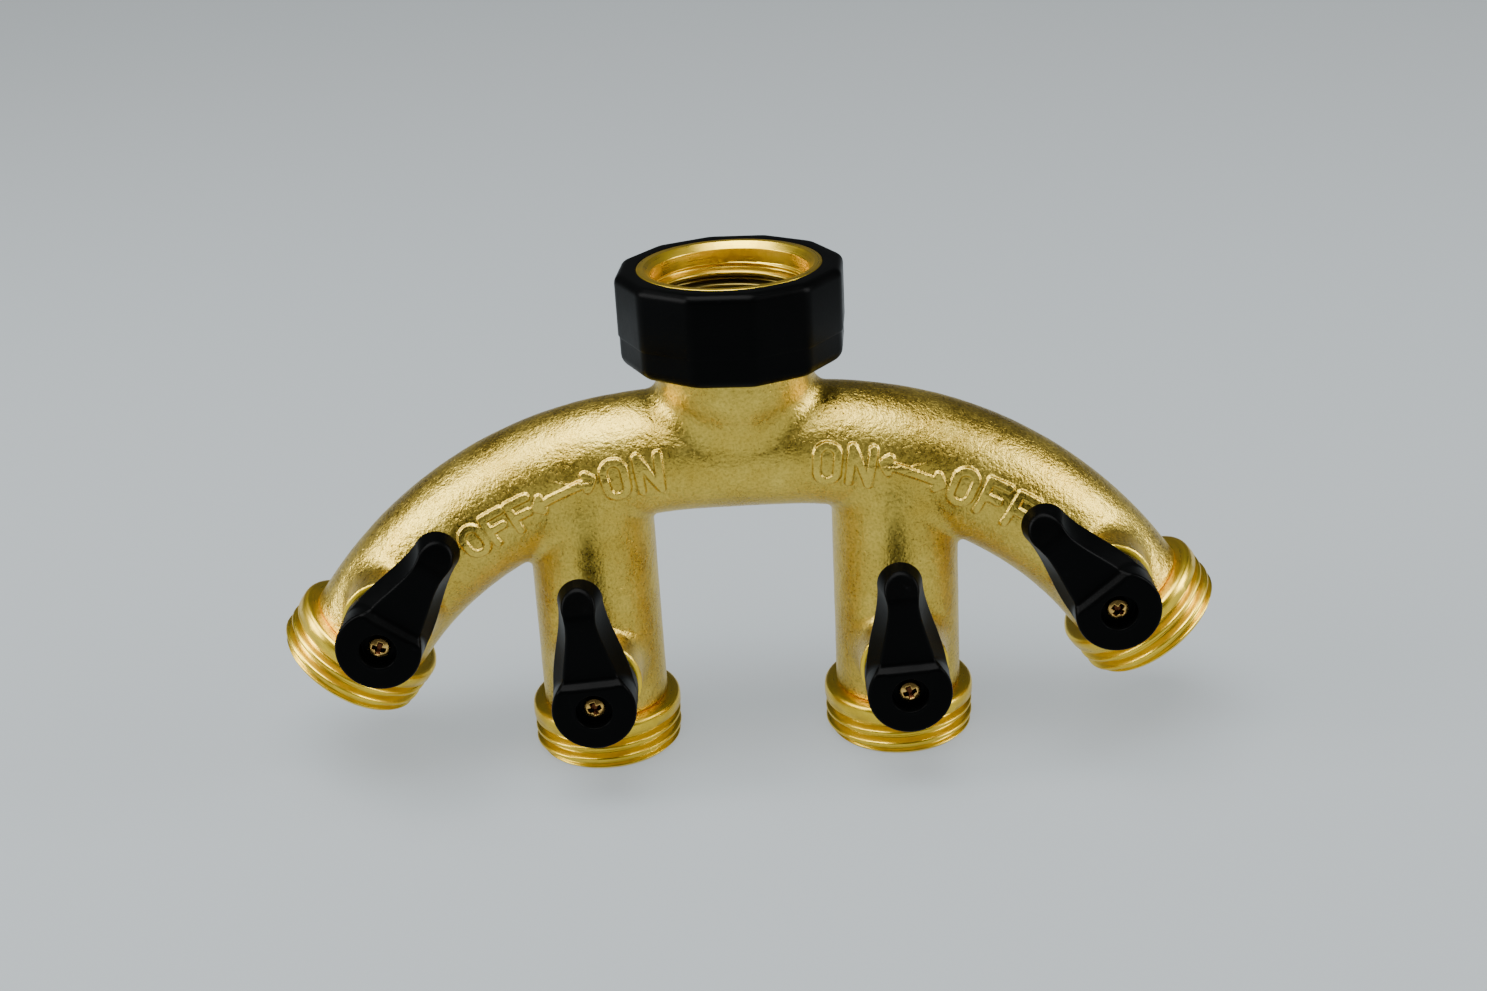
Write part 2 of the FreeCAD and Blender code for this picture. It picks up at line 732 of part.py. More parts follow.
def draw_teardrop(sketch, big, small, reach):
    """Two arcs about points on the vertical axis, reach apart, joined by their outer tangents."""
    lean = math.asin((big - small) / reach)
    far = Vector(0, reach, 0)
    cross = Vector(math.cos(lean), math.sin(lean), 0)
    mirrored = Vector(-cross.x, cross.y, 0)
    up = Vector(0, 0, 1)
    ends = (lean, math.pi - lean)
    sketch.addGeometry(Part.ArcOfCircle(Part.Circle(far, up, float(small)), ends[0], ends[1]))
    sketch.addGeometry(Part.LineSegment(far + mirrored * float(small), mirrored * float(big)))
    root = Part.Circle(Vector(), up, float(big))
    sketch.addGeometry(Part.ArcOfCircle(root, ends[1], ends[0] + 2 * math.pi))
    sketch.addGeometry(Part.LineSegment(cross * float(big), far + cross * float(small)))
    for first, first_end, second, second_end in ((0, 2, 1, 1), (1, 2, 2, 1), (2, 2, 3, 1), (3, 2, 0, 1)):
        sketch.addConstraint(Sketcher.Constraint("Tangent", first, first_end, second, second_end))
    sketch.addConstraint(Sketcher.Constraint("Coincident", 2, 3, -1, 1))
    pin_point(sketch, 0, 3, 0.0, reach)
    for edge, radius in ((0, small), (2, big)):
        index = sketch.addConstraint(Sketcher.Constraint("Radius", edge, float(radius)))
        sketch.setExpression(f"Constraints[{index}]", radius.formula)


def handle_screw(name, frame):
    """A pan-head screw with a cross recess, its shank in the stem's tapped hole."""
    head_top = screw_seat + screw_head_height
    blank = turned(f"{name}_screw_blank", [
        (0.0, screw_seat - screw_length),
        (screw_shank_radius, screw_seat - screw_length),
        (screw_shank_radius, screw_seat),
        (screw_head_radius, screw_seat),
        (screw_head_radius, screw_seat + screw_head_height / 2),
        (screw_head_radius - screw_head_height / 2, head_top),
        (0.0, head_top),
    ])
    floor = head_top - screw_recess_depth
    height = screw_recess_depth + OVERCUT
    slots = [
        box(screw_recess_span, screw_recess_width, height, 0.0, 0.0, floor),
        box(screw_recess_width, screw_recess_span, height, 0.0, 0.0, floor),
    ]
    finish(cut(blank, slots), f"{name}_handle_screw", frame)


def branch(name, side, outer, turn):
    """One outlet with its valve. The turning pieces stand at the handle's present angle."""
    still = valve_frame(side, outer)
    turning = still * handle_turn(side, turn)
    outlet_fitting(name, outlet_frame(side, outer))
    seat(name, still, 1)
    seat(name, still, -1)
    ball(name, turning)
    stem(name, turning)
    stem_seals(name, turning)
    thrust_washer(name, turning)
    handle(name, turning)
    handle_screw(name, turning)


casting()
inlet_washer()
nut_retaining_ring()
nut_grip(*nut_ring())
for branch_facts in BRANCHES:
    branch(*branch_facts)
doc.recompute()

# ---- checks, then one file for each sub-part -----------------------------------------------------

faults = []
for thing in doc.Objects:
    if "Invalid" in thing.State or "Error" in thing.State:
        faults.append(f"{thing.Label}: {thing.State}")
for thing in finished:
    if thing.Shape.isNull() or not thing.Shape.isValid():
        faults.append(f"{thing.Label}: bad shape")
    elif len(thing.Shape.Solids) != 1:
        faults.append(f"{thing.Label}: {len(thing.Shape.Solids)} solids")
if faults:
    sys.exit("\n".join(faults))

os.makedirs("parts", exist_ok=True)
for thing in finished:
    thing.Shape.exportStep(f"parts/{thing.Label}.step")
    print(f"{thing.Label}: {thing.Shape.Volume:.1f} mm3")
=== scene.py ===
import json
import math

import bmesh
import bpy
import numpy as np
import openvdb
from mathutils import Matrix, Vector, noise


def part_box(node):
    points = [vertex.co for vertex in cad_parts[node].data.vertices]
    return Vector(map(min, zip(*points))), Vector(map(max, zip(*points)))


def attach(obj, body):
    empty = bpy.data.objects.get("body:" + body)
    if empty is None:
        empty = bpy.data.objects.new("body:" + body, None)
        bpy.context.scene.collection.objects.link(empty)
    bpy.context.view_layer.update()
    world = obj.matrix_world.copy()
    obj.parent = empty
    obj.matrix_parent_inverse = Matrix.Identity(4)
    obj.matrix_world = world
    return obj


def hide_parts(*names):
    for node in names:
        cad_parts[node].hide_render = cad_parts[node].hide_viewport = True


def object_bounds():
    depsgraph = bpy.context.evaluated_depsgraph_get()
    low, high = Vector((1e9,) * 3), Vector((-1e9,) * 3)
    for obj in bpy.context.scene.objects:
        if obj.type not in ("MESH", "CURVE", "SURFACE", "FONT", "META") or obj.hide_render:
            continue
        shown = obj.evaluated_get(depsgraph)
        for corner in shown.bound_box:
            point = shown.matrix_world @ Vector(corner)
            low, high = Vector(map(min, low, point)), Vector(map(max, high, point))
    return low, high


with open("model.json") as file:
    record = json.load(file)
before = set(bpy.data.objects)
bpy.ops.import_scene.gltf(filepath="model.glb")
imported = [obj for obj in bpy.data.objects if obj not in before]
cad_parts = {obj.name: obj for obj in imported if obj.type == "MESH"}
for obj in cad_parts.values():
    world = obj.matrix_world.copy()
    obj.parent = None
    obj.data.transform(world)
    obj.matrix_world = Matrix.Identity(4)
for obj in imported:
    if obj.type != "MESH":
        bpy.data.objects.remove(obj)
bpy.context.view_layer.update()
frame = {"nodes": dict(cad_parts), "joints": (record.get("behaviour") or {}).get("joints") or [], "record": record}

# Everything is in metres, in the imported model's frame: +Z up the inlet, +X along the arch, handles face -Y.
MM = 0.001
DEGREE = math.pi / 180
BRANCHES = ("left_outer", "left_inner", "right_inner", "right_outer")

mounts = {mount["name"]: mount for mount in frame["record"]["mounts"]}
joints = {joint["name"]: joint for joint in frame["joints"]}

# Hose thread
THREAD_PITCH = 25.4 / 11.5 * MM
OUTLET_MAJOR = mounts["left_inner_outlet"]["dims"]["r_mm"] * MM
# a helical crest reaches a little further along the axis than a ring, so it stands a little lower
OUTLET_CREST = OUTLET_MAJOR - 0.12 * MM
OUTLET_MINOR = 12.1 * MM
INLET_MINOR = mounts["inlet"]["dims"]["r_mm"] * MM
INLET_MAJOR = 13.6 * MM
FLANGE_THICKNESS = 2.5 * MM
FLANGE_EDGE = 1.2 * MM

# Arch of the casting
CROWN_DEPTH = 23.9 * MM
CROWN_HALF_LENGTH = 8.7 * MM
CROWN_TUBE_RADIUS = 10.65 * MM
ARM_TUBE_RADIUS = 11.3 * MM
ARM_END_RADIUS = 11.0 * MM
ARM_WIDEST_AT = 0.5
WATERWAY_RADIUS = 6.8 * MM

# Legs, neck and bosses of the casting
LEG_TOP_DROP = 2.0 * MM
LEG_TOP_RADIUS = 11.0 * MM
LEG_END_RADIUS = 11.2 * MM
LEG_FILLET = 1.6 * MM
NECK_RADIUS = 13.3 * MM
NECK_SHOULDER_DEPTH = 6.4 * MM
NECK_DOME_DEPTH = 9.6 * MM
NECK_SPIGOT_RADIUS = 9.92 * MM
NECK_BORE_RADIUS = 6.5 * MM
NECK_FILLET = 3.5 * MM
RING_GROOVE_RADIUS = 9.0 * MM
BOSS_RADIUS = 7.8 * MM
BOSS_FACE = 16.0 * MM
BOSS_FILLET = 1.6 * MM
EDGE_RADIUS = 0.45 * MM
PASSAGE_EDGE = EDGE_RADIUS / 3

# Valve spaces
VALVE_HEIGHT = 10.0 * MM
CHAMBER_RADIUS = 8.6 * MM
CHAMBER_END = 8.6 * MM
SOCKET_RADIUS = 9.95 * MM
SOCKET_LENGTH = 4.65 * MM
GLAND_RADIUS = 3.8 * MM
COLLAR_RADIUS = 5.0 * MM
COLLAR_DEPTH = 10.2 * MM
THROAT_RADIUS = 6.0 * MM
THROAT_LENGTH = 8.0 * MM

# Stop lug on each boss. Angles are in degrees, from the lever standing in line with the pipe.
STOP_PAST_ON = 8.0
STOP_PAST_OFF = 92.0
STOP_MIDDLE = (STOP_PAST_OFF - STOP_PAST_ON) / 2
LUG_INNER_RADIUS = 4.6 * MM
LUG_OUTER_RADIUS = 6.2 * MM
LUG_ANGLE = 24.0
LUG_TOP = 18.8 * MM


# ---- where things are ----

def joint_plane(branch):
    """Centre of an outlet's joint with the casting, and the way out of the outlet."""
    mount = mounts[f"{branch}_outlet"]
    out = Vector(mount["axis"])
    return Vector(mount["pos_m"]) - out * (mount["dims"]["length_mm"] * MM / 2 + FLANGE_EDGE), out


def outlet_place(branch):
    """Placement of an outlet: origin at its joint plane, z back up the pipe, y to the back."""
    centre, out = joint_plane(branch)
    return frame_of(centre, Vector((0, 1, 0)), -out)


def valve_place(branch, turned=False):
    """Placement of a valve: origin at the ball's centre, z out along the stem, y up the pipe."""
    _, out = joint_plane(branch)
    joint = joints[f"{branch}_valve_turn"]
    place = frame_of(Vector(joint["pos_m"]), -out, Vector((0, -1, 0)))
    if turned:
        # the lever stands this far from in line with the pipe, about the joint's own axis
        angle = -(joint["range_deg"][0] + STOP_PAST_ON) * DEGREE
        sense = Vector(joint["axis"]).dot(Vector((0, -1, 0)))
        place = place @ Matrix.Rotation(angle * sense, 4, "Z")
    return place


def frame_of(origin, y_axis, z_axis):
    """Placement at an origin with its y and z along two given directions."""
    x_axis = y_axis.cross(z_axis)
    turn = Matrix((x_axis, y_axis, z_axis)).transposed().to_4x4()
    return Matrix.Translation(origin) @ turn


leg_end, _ = joint_plane("right_inner")
arm_end, arm_out = joint_plane("right_outer")
inner_ball = Vector(joints["right_inner_valve_turn"]["pos_m"])
outer_ball = Vector(joints["right_outer_valve_turn"]["pos_m"])
sweep = math.atan2(-arm_out.z, arm_out.x)
# the arc's radius and the straight end's length follow from where the arm ends
reach = arm_end.x - CROWN_HALF_LENGTH
drop = -CROWN_DEPTH - arm_end.z
arch_radius = (reach * math.sin(sweep) - drop * math.cos(sweep)) / (1 - math.cos(sweep))
arm_straight = (reach - arch_radius * math.sin(sweep)) / math.cos(sweep)
arch_half_length = CROWN_HALF_LENGTH + arch_radius * sweep + arm_straight


# ---- distance fields ----
# A field is negative inside a shape, and its value is about the distance from the surface.

BAND_VOXELS = 3
SETTLE_PASSES = 2
SETTLE_STEP = 0.25
SLOPE_STEP = 0.125
LEAST_SLOPE = 0.5
SHORTEST_NORMAL = 1e-6


def fillet(first, second, radius):
    """Union of two fields, with a fillet where they meet."""
    corner = np.hypot(np.maximum(radius - first, 0), np.maximum(radius - second, 0))
    return np.maximum(radius, np.minimum(first, second)) - corner


def rounded(first, second, radius):
    """What two fields share, with the edge between them rounded."""
    edge = np.hypot(np.maximum(radius + first, 0), np.maximum(radius + second, 0))
    return np.minimum(-radius, np.maximum(first, second)) + edge


def smooth(value):
    """0 to 1, with level ends."""
    value = np.clip(value, 0, 1)
    return value * value * (3 - 2 * value)


def surface_of(field, low, high, voxel):
    """Points and faces of a field's zero surface, from a grid of voxels."""
    low = np.array(low)
    counts = np.ceil((np.array(high) - low) / voxel).astype(int) + 1
    x, y, z = (low[axis] + voxel * np.arange(counts[axis]) for axis in range(3))
    band = BAND_VOXELS * voxel
    values = np.empty(counts, np.float32)
    for row in range(counts[1]):
        values[:, row, :] = np.clip(field(x[:, None], y[row], z[None, :]), -band, band)
    grid = openvdb.FloatGrid(band)
    grid.copyFromArray(values / voxel)
    points, triangles, quads = grid.convertToPolygons(isovalue=0.0)
    return points * voxel + low, [face[::-1] for face in (*triangles.tolist(), *quads.tolist())]


def slopes(points, field, step):
    """Gradient of a field at points."""
    gradient = np.empty_like(points)
    for axis in range(3):
        ahead = points.copy()
        behind = points.copy()
        ahead[:, axis] += step
        behind[:, axis] -= step
        gradient[:, axis] = (field(*ahead.T) - field(*behind.T)) / (2 * step)
    return gradient


def settle(points, field, voxel):
    """Move points from a grid of voxels onto the field's zero surface."""
    step = voxel * SETTLE_STEP
    for _ in range(SETTLE_PASSES):
        gradient = slopes(points, field, step)
        size = np.maximum((gradient ** 2).sum(1), LEAST_SLOPE ** 2)
        move = -gradient * (field(*points.T) / size)[:, None]
        points = points + np.clip(move, -step, step)
    return points


def mesh_from(name, points, faces):
    mesh = bpy.data.meshes.new(name)
    mesh.from_pydata(points.tolist(), [], faces)
    mesh.validate()
    mesh.shade_smooth()
    return mesh


def field_mesh(name, field, low, high, voxel):
    """A mesh of a field's zero surface within a box."""
    points, faces = surface_of(field, low, high, voxel)
    return mesh_from(name, settle(points, field, voxel), faces)


def places_of(mesh):
    """The places of a mesh's points, one row each."""
    places = np.empty(len(mesh.vertices) * 3)
    mesh.vertices.foreach_get("co", places)
    return places.reshape(-1, 3)


def give_points(mesh, name, values):
    """Store a value at each point of a mesh, for its material to read."""
    mesh.attributes.new(name, "FLOAT", "POINT").data.foreach_set("value", values.astype(np.float32))


# ---- casting ----

def arch_lines(across, z):
    """Distance along the arch from its crown, and off its centreline in its own plane."""
    over = across - CROWN_HALF_LENGTH
    up = z + CROWN_DEPTH + arch_radius
    angle = np.arctan2(over, up)
    run = CROWN_HALF_LENGTH + arch_radius * angle
    off = np.hypot(over, up) - arch_radius
    crown = over < 0
    run = np.where(crown, across, run)
    off = np.where(crown, up - arch_radius, off)
    end_x = over - arch_radius * math.sin(sweep)
    end_z = up - arch_radius * math.cos(sweep)
    straight = (angle > sweep) & ~crown
    along = end_x * math.cos(sweep) - end_z * math.sin(sweep)
    run = np.where(straight, CROWN_HALF_LENGTH + arch_radius * sweep + along, run)
    off = np.where(straight, end_x * math.sin(sweep) + end_z * math.cos(sweep), off)
    return run, off


def arch_tube_radius(run):
    """The tube swells from the crown to its widest place, then narrows to its end."""
    share = np.clip(run / arch_half_length, 0, 1)
    swell = (1 - np.cos(math.pi * np.minimum(share / ARM_WIDEST_AT, 1))) / 2
    narrow = (1 - np.cos(math.pi * np.maximum(share - ARM_WIDEST_AT, 0) / (1 - ARM_WIDEST_AT))) / 2
    radius = CROWN_TUBE_RADIUS + (ARM_TUBE_RADIUS - CROWN_TUBE_RADIUS) * swell
    return radius + (ARM_END_RADIUS - ARM_TUBE_RADIUS) * narrow


def neck_field(across, y, z):
    """The inlet neck and, above its shoulder, the spigot inside the nut."""
    radial = np.hypot(across, y)
    dome = np.hypot(radial, np.minimum(z + NECK_DOME_DEPTH, 0)) - NECK_RADIUS
    skirt = rounded(dome, z + NECK_SHOULDER_DEPTH, EDGE_RADIUS)
    spigot_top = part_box("manifold_casting")[1].z
    spigot = np.maximum(radial - NECK_SPIGOT_RADIUS, z - spigot_top)
    ring_low, ring_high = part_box("nut_retaining_ring")
    groove = np.maximum(RING_GROOVE_RADIUS - radial, np.maximum(ring_low.z - z, z - ring_high.z))
    return skirt, np.maximum(np.maximum(spigot, -groove), -NECK_DOME_DEPTH - z)


def valve_lines(across, z, ball, up):
    """Place across the pipe and along it from a ball's centre, where up is the way up the pipe."""
    over = across - ball.x
    rise = z - ball.z
    return over * up.z - rise * up.x, over * up.x + rise * up.z


def boss_field(side, along, out):
    """A valve's boss with the lug that stops the handle. out is the distance out along the stem."""
    radial = np.hypot(side, along)
    barrel = np.maximum(rounded(radial - BOSS_RADIUS, out - BOSS_FACE, EDGE_RADIUS), -out)
    direction = (270 - STOP_MIDDLE) * DEGREE
    ahead = side * math.cos(direction) + along * math.sin(direction)
    aside = along * math.cos(direction) - side * math.sin(direction)
    wedge = np.abs(aside) * math.cos(LUG_ANGLE / 2 * DEGREE) - ahead * math.sin(LUG_ANGLE / 2 * DEGREE)
    lug = np.maximum(np.maximum(radial - LUG_OUTER_RADIUS, LUG_INNER_RADIUS - radial), wedge)
    lug = np.maximum(lug, np.maximum(out - LUG_TOP, BOSS_FACE - EDGE_RADIUS - out))
    return barrel, lug


def valve_space(side, along, out, throat_top):
    """The hollow for one valve and its outlet's spigot, with the throat up to throat_top."""
    round_pipe = np.hypot(side, out)
    round_stem = np.hypot(side, along)
    chamber = np.maximum(round_pipe - CHAMBER_RADIUS, along - CHAMBER_END)
    socket = np.maximum(round_pipe - SOCKET_RADIUS, along + VALVE_HEIGHT - SOCKET_LENGTH)
    throat = np.maximum(np.maximum(round_pipe - THROAT_RADIUS, along - throat_top), -along)
    gland = np.maximum(round_stem - GLAND_RADIUS, -out)
    collar = np.maximum(round_stem - COLLAR_RADIUS, np.maximum(out - COLLAR_DEPTH, -out))
    return np.minimum.reduce([chamber, socket, throat, gland, collar])


def casting_parts(x, y, z):
    """The casting's outside with sharp ends left off, its machined ends, and its passages."""
    across = np.abs(x)
    run, off = arch_lines(across, z)
    tube = rounded(np.hypot(off, y) - arch_tube_radius(run), run - arch_half_length, EDGE_RADIUS)
    leg_top = -CROWN_DEPTH - LEG_TOP_DROP
    share = np.clip((leg_top - z) / (leg_top - leg_end.z), 0, 1)
    leg = np.hypot(across - leg_end.x, y) - (LEG_TOP_RADIUS + (LEG_END_RADIUS - LEG_TOP_RADIUS) * share)
    leg = np.maximum(rounded(leg, leg_end.z - z, EDGE_RADIUS), z - leg_top)
    body = fillet(tube, leg, LEG_FILLET)
    skirt, spigot = neck_field(across, y, z)
    body = np.minimum(fillet(body, skirt, NECK_FILLET), spigot)
    passages = np.maximum(np.hypot(across, y) - NECK_BORE_RADIUS, -CROWN_DEPTH - z)
    waterway_end = arch_half_length - VALVE_HEIGHT - CHAMBER_END - THROAT_LENGTH / 2
    waterway = np.maximum(np.hypot(off, y) - WATERWAY_RADIUS, run - waterway_end)
    passages = np.minimum(passages, waterway)
    inner_throat = -CROWN_DEPTH - inner_ball.z
    outer_throat = THROAT_LENGTH + CHAMBER_END
    for ball, up, throat_top in (
        (inner_ball, Vector((0, 0, 1)), inner_throat),
        (outer_ball, -arm_out, outer_throat),
    ):
        side, along = valve_lines(across, z, ball, up)
        barrel, lug = boss_field(side, along, -y)
        body = np.minimum(fillet(body, barrel, BOSS_FILLET), lug)
        passages = np.minimum(passages, valve_space(side, along, -y, throat_top))
    return body, passages, run


def casting_field(x, y, z):
    body, passages, _ = casting_parts(x, y, z)
    return rounded(body, -passages, PASSAGE_EDGE)


# ---- raised marks ----
# ON and OFF with a double arrow between them, along the front of each arm.

LETTER_HALF_WIDTH = 1.75 * MM
F_BAR_SHARE = 0.6
STROKE_HALF = 0.72 * MM
MARK_RAISE = 0.5 * MM
MARK_EDGE = 0.5 * MM
ARROW_HALF_LENGTH = 5.4 * MM
ARROW_HEAD = 1.15 * MM
ARROW_INNER_RISE = 1.2 * MM
ARROW_OUTER_RISE = -0.1 * MM
# each word, how far along the arch its middle is and up the front, its letters' height and their pitch
WORDS = (
    ("OFF", -43.0 * MM, -0.2 * MM, 6.4 * MM, 4.9 * MM),
    ("ON", -18.2 * MM, 0.1 * MM, 7.6 * MM, 5.8 * MM),
    ("ON", 17.6 * MM, 0.1 * MM, 7.8 * MM, 5.7 * MM),
    ("OFF", 43.8 * MM, 0.5 * MM, 7.2 * MM, 5.6 * MM),
)
ARROW_MIDDLES = (-30.2 * MM, 29.3 * MM)
# farther from a stroke than any mark reaches
BARE = 10 * MM


def stroke(u, v, start, end):
    """Distance from a straight stroke."""
    du, dv = end[0] - start[0], end[1] - start[1]
    share = np.clip(((u - start[0]) * du + (v - start[1]) * dv) / (du * du + dv * dv), 0, 1)
    return np.hypot(u - start[0] - share * du, v - start[1] - share * dv)


def glyph(letter, height, u, v):
    """Distance from the middle of a letter's strokes, with the letter centred on the origin."""
    top = height / 2 - STROKE_HALF
    side = LETTER_HALF_WIDTH
    if letter == "O":
        straight = np.maximum(np.abs(v) - (top - side), 0)
        return np.abs(np.hypot(u, straight) - side)
    bar_end = side * F_BAR_SHARE
    strokes = {
        "N": (((-side, -top), (-side, top)), ((-side, top), (side, -top)), ((side, -top), (side, top))),
        "F": (((-side, -top), (-side, top)), ((-side, top), (side, top)), ((-side, 0), (bar_end, 0))),
    }[letter]
    return np.minimum.reduce([stroke(u, v, start, end) for start, end in strokes])


def arrow(u, v):
    """Distance from the strokes of a double-headed arrow, which falls outwards along u."""
    tip = ARROW_HALF_LENGTH
    share = (u / tip + 1) / 2
    v = v - ARROW_INNER_RISE - (ARROW_OUTER_RISE - ARROW_INNER_RISE) * share
    shaft = stroke(u, v, (-tip, 0), (tip, 0))
    barbs = stroke(np.abs(u), np.abs(v), (tip, 0), (tip - ARROW_HEAD, ARROW_HEAD))
    return np.minimum(shaft, barbs)


def mark_height(run, rise):
    """How far the marks stand up at places along and up the front of the arch."""
    nearest = np.full(run.shape, BARE)
    for middle in ARROW_MIDDLES:
        outward = math.copysign(1, middle)
        nearest = np.minimum(nearest, arrow((run - middle) * outward, rise))
    for word, middle, lift, height, pitch in WORDS:
        for place, letter in enumerate(word):
            centre = middle + (place - (len(word) - 1) / 2) * pitch
            nearest = np.minimum(nearest, glyph(letter, height, run - centre, rise - lift))
    return MARK_RAISE * smooth((STROKE_HALF + MARK_EDGE / 2 - nearest) / MARK_EDGE)


# ---- the casting's mesh ----

CASTING_VOXEL = 0.45 * MM
MARK_ZONE = (11.0 * MM, 54.5 * MM)
MARK_ZONE_RISE = 5.2 * MM
MARK_ZONE_DEPTH = 1.0 * MM
MARK_CUTS = 2
SWELL_SIZE = 7.0 * MM
SWELL = 0.05 * MM
LUMP_SIZE = 1.7 * MM
LUMP = 0.022 * MM
SKIN_FADE = 0.3 * MM
BOSS_EDGE_MARGIN = 1.0 * MM


def front_place(points):
    """Signed distance along the arch and distance up round its front, for points on it."""
    x, y, z = points.T
    run, off = arch_lines(np.abs(x), z)
    radius = np.hypot(off, y)
    rise = np.arctan2(off, -y) * radius
    return np.sign(x) * run, rise


def casting_mesh():
    """The casting, with its raised marks and its uneven skin."""
    low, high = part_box("manifold_casting")
    margin = Vector((1, 1, 1)) * BAND_VOXELS * CASTING_VOXEL
    points, faces = surface_of(casting_field, low - margin, high + margin, CASTING_VOXEL)
    mesh = mesh_from("manifold_casting_mesh", points, faces)

    # finer faces under the marks
    shape = bmesh.new()
    shape.from_mesh(mesh)
    run, rise = front_place(points)
    _, passages, _ = casting_parts(*points.T)
    marked = (np.abs(run) > MARK_ZONE[0]) & (np.abs(run) < MARK_ZONE[1])
    marked &= (np.abs(rise) < MARK_ZONE_RISE) & (points[:, 1] < 0) & (passages > MARK_ZONE_DEPTH)
    shape.verts.ensure_lookup_table()
    edges = [edge for edge in shape.edges if marked[edge.verts[0].index] and marked[edge.verts[1].index]]
    bmesh.ops.subdivide_edges(shape, edges=edges, cuts=MARK_CUTS, use_grid_fill=True)
    shape.to_mesh(mesh)
    shape.free()

    points = settle(places_of(mesh), casting_field, CASTING_VOXEL)
    _, passages, _ = casting_parts(*points.T)
    normals = slopes(points, casting_field, CASTING_VOXEL * SLOPE_STEP)
    normals /= np.maximum(np.linalg.norm(normals, axis=1), SHORTEST_NORMAL)[:, None]
    cast = as_cast(points, passages, normals)
    run, rise = front_place(points)
    raised = mark_height(run, rise) * (points[:, 1] < 0)
    uneven = np.array([
        SWELL * noise.noise(Vector(point) / SWELL_SIZE) + LUMP * noise.noise(Vector(point) / LUMP_SIZE)
        for point in points
    ])
    points += normals * ((raised + uneven) * cast)[:, None]
    mesh.vertices.foreach_set("co", points.ravel())
    give_points(mesh, "cast", cast)
    # painted highlight: the material makes the raised marks paler by their height
    give_points(mesh, "mark", raised / MARK_RAISE)
    mesh.update()
    return mesh


def as_cast(points, passages, normals):
    """1 on the casting's raw skin, falling to 0 on its machined ends, faces and passages."""
    x, y, z = points.T
    across = np.abs(x)
    run, _ = arch_lines(across, z)
    outer_side, outer_along = valve_lines(across, z, outer_ball, -arm_out)
    inner_side, inner_along = valve_lines(across, z, inner_ball, Vector((0, 0, 1)))
    near_boss = np.minimum(np.hypot(outer_side, outer_along), np.hypot(inner_side, inner_along))
    on_face = (near_boss < BOSS_RADIUS + BOSS_EDGE_MARGIN) & (y < -BOSS_FACE + EDGE_RADIUS / 2)
    skin = np.minimum.reduce([
        passages,
        arch_half_length - EDGE_RADIUS / 2 - run,
        z - leg_end.z - EDGE_RADIUS / 2,
        -NECK_SHOULDER_DEPTH - EDGE_RADIUS - z,
    ])
    return smooth(skin / SKIN_FADE) * ~on_face


# ---- turned pieces ----

COLUMNS = 144
MERGE_DISTANCE = 0.001 * MM
ROUNDING_STEPS = 4
LONGEST_ROUNDING = 0.48
ROWS_PER_TURN = 16
THREAD_ROOT_SHARE = 0.12
THREAD_CREST_SHARE = 0.16
# the front is -Y, three quarters of a turn round from +X
FRONT_TURN = 0.75


def turned_mesh(name, rows, columns=COLUMNS):
    """A mesh turned about z. A row is (radius, height), or a function of the angle that gives them."""
    points = []
    for column in range(columns + 1):
        angle = 2 * math.pi * column / columns
        for row in rows:
            radius, height = row(angle) if callable(row) else row
            points.append((radius * math.cos(angle), radius * math.sin(angle), height))
    count = len(rows)
    faces = []
    for column in range(columns):
        for row in range(count):
            here = column * count
            there = here + count
            after = (row + 1) % count
            faces.append((here + row, here + after, there + after, there + row))
    mesh = mesh_from(name, np.array(points), faces)
    shape = bmesh.new()
    shape.from_mesh(mesh)
    bmesh.ops.remove_doubles(shape, verts=shape.verts, dist=MERGE_DISTANCE)
    bmesh.ops.dissolve_degenerate(shape, edges=shape.edges, dist=MERGE_DISTANCE)
    bmesh.ops.recalc_face_normals(shape, faces=shape.faces)
    shape.to_mesh(mesh)
    shape.free()
    mesh.shade_smooth()
    return mesh


def soften(outline, radius):
    """An outline of (radius, height) corners, each rounded. A third value is a corner's own rounding."""
    count = len(outline)
    softened = []
    for index, corner in enumerate(outline):
        here = Vector(corner[:2])
        before = Vector(outline[index - 1][:2]) - here
        after = Vector(outline[(index + 1) % count][:2]) - here
        limit = min(before.length, after.length) * LONGEST_ROUNDING
        wanted = corner[2] if len(corner) > 2 else radius
        back = min(wanted / math.tan(before.angle(after) / 2), limit)
        for step in range(ROUNDING_STEPS + 1):
            share = step / ROUNDING_STEPS
            first = before.normalized() * back * (1 - share) ** 2
            second = after.normalized() * back * share ** 2
            softened.append(tuple(here + first + second))
    return softened


def between_ends(softened):
    """A softened outline without its first and last corners."""
    corner = ROUNDING_STEPS + 1
    return softened[corner:-corner]


def thread_rows(root, crest, low, high, limit):
    """Rows of a helical thread between two heights. limit gives the least and the most radius there."""
    rows = []

    def row_at(index):
        def row(angle):
            # a crest meets the low end at the front
            wound = THREAD_PITCH * (angle / (2 * math.pi) - FRONT_TURN)
            height = low + THREAD_PITCH * (index / ROWS_PER_TURN - 1) + wound
            height = min(max(height, low), high)
            phase = ((height - wound - low) / THREAD_PITCH) % 1
            slope = 1 - THREAD_ROOT_SHARE - THREAD_CREST_SHARE
            share = float(smooth((abs(2 * phase - 1) - THREAD_ROOT_SHARE) / slope))
            least, most = limit(height)
            return min(max(root + (crest - root) * share, least), most), height
        return row

    for index in range(ROWS_PER_TURN * (math.ceil((high - low) / THREAD_PITCH) + 3)):
        rows.append(row_at(index))
    return rows


# ---- outlet ----

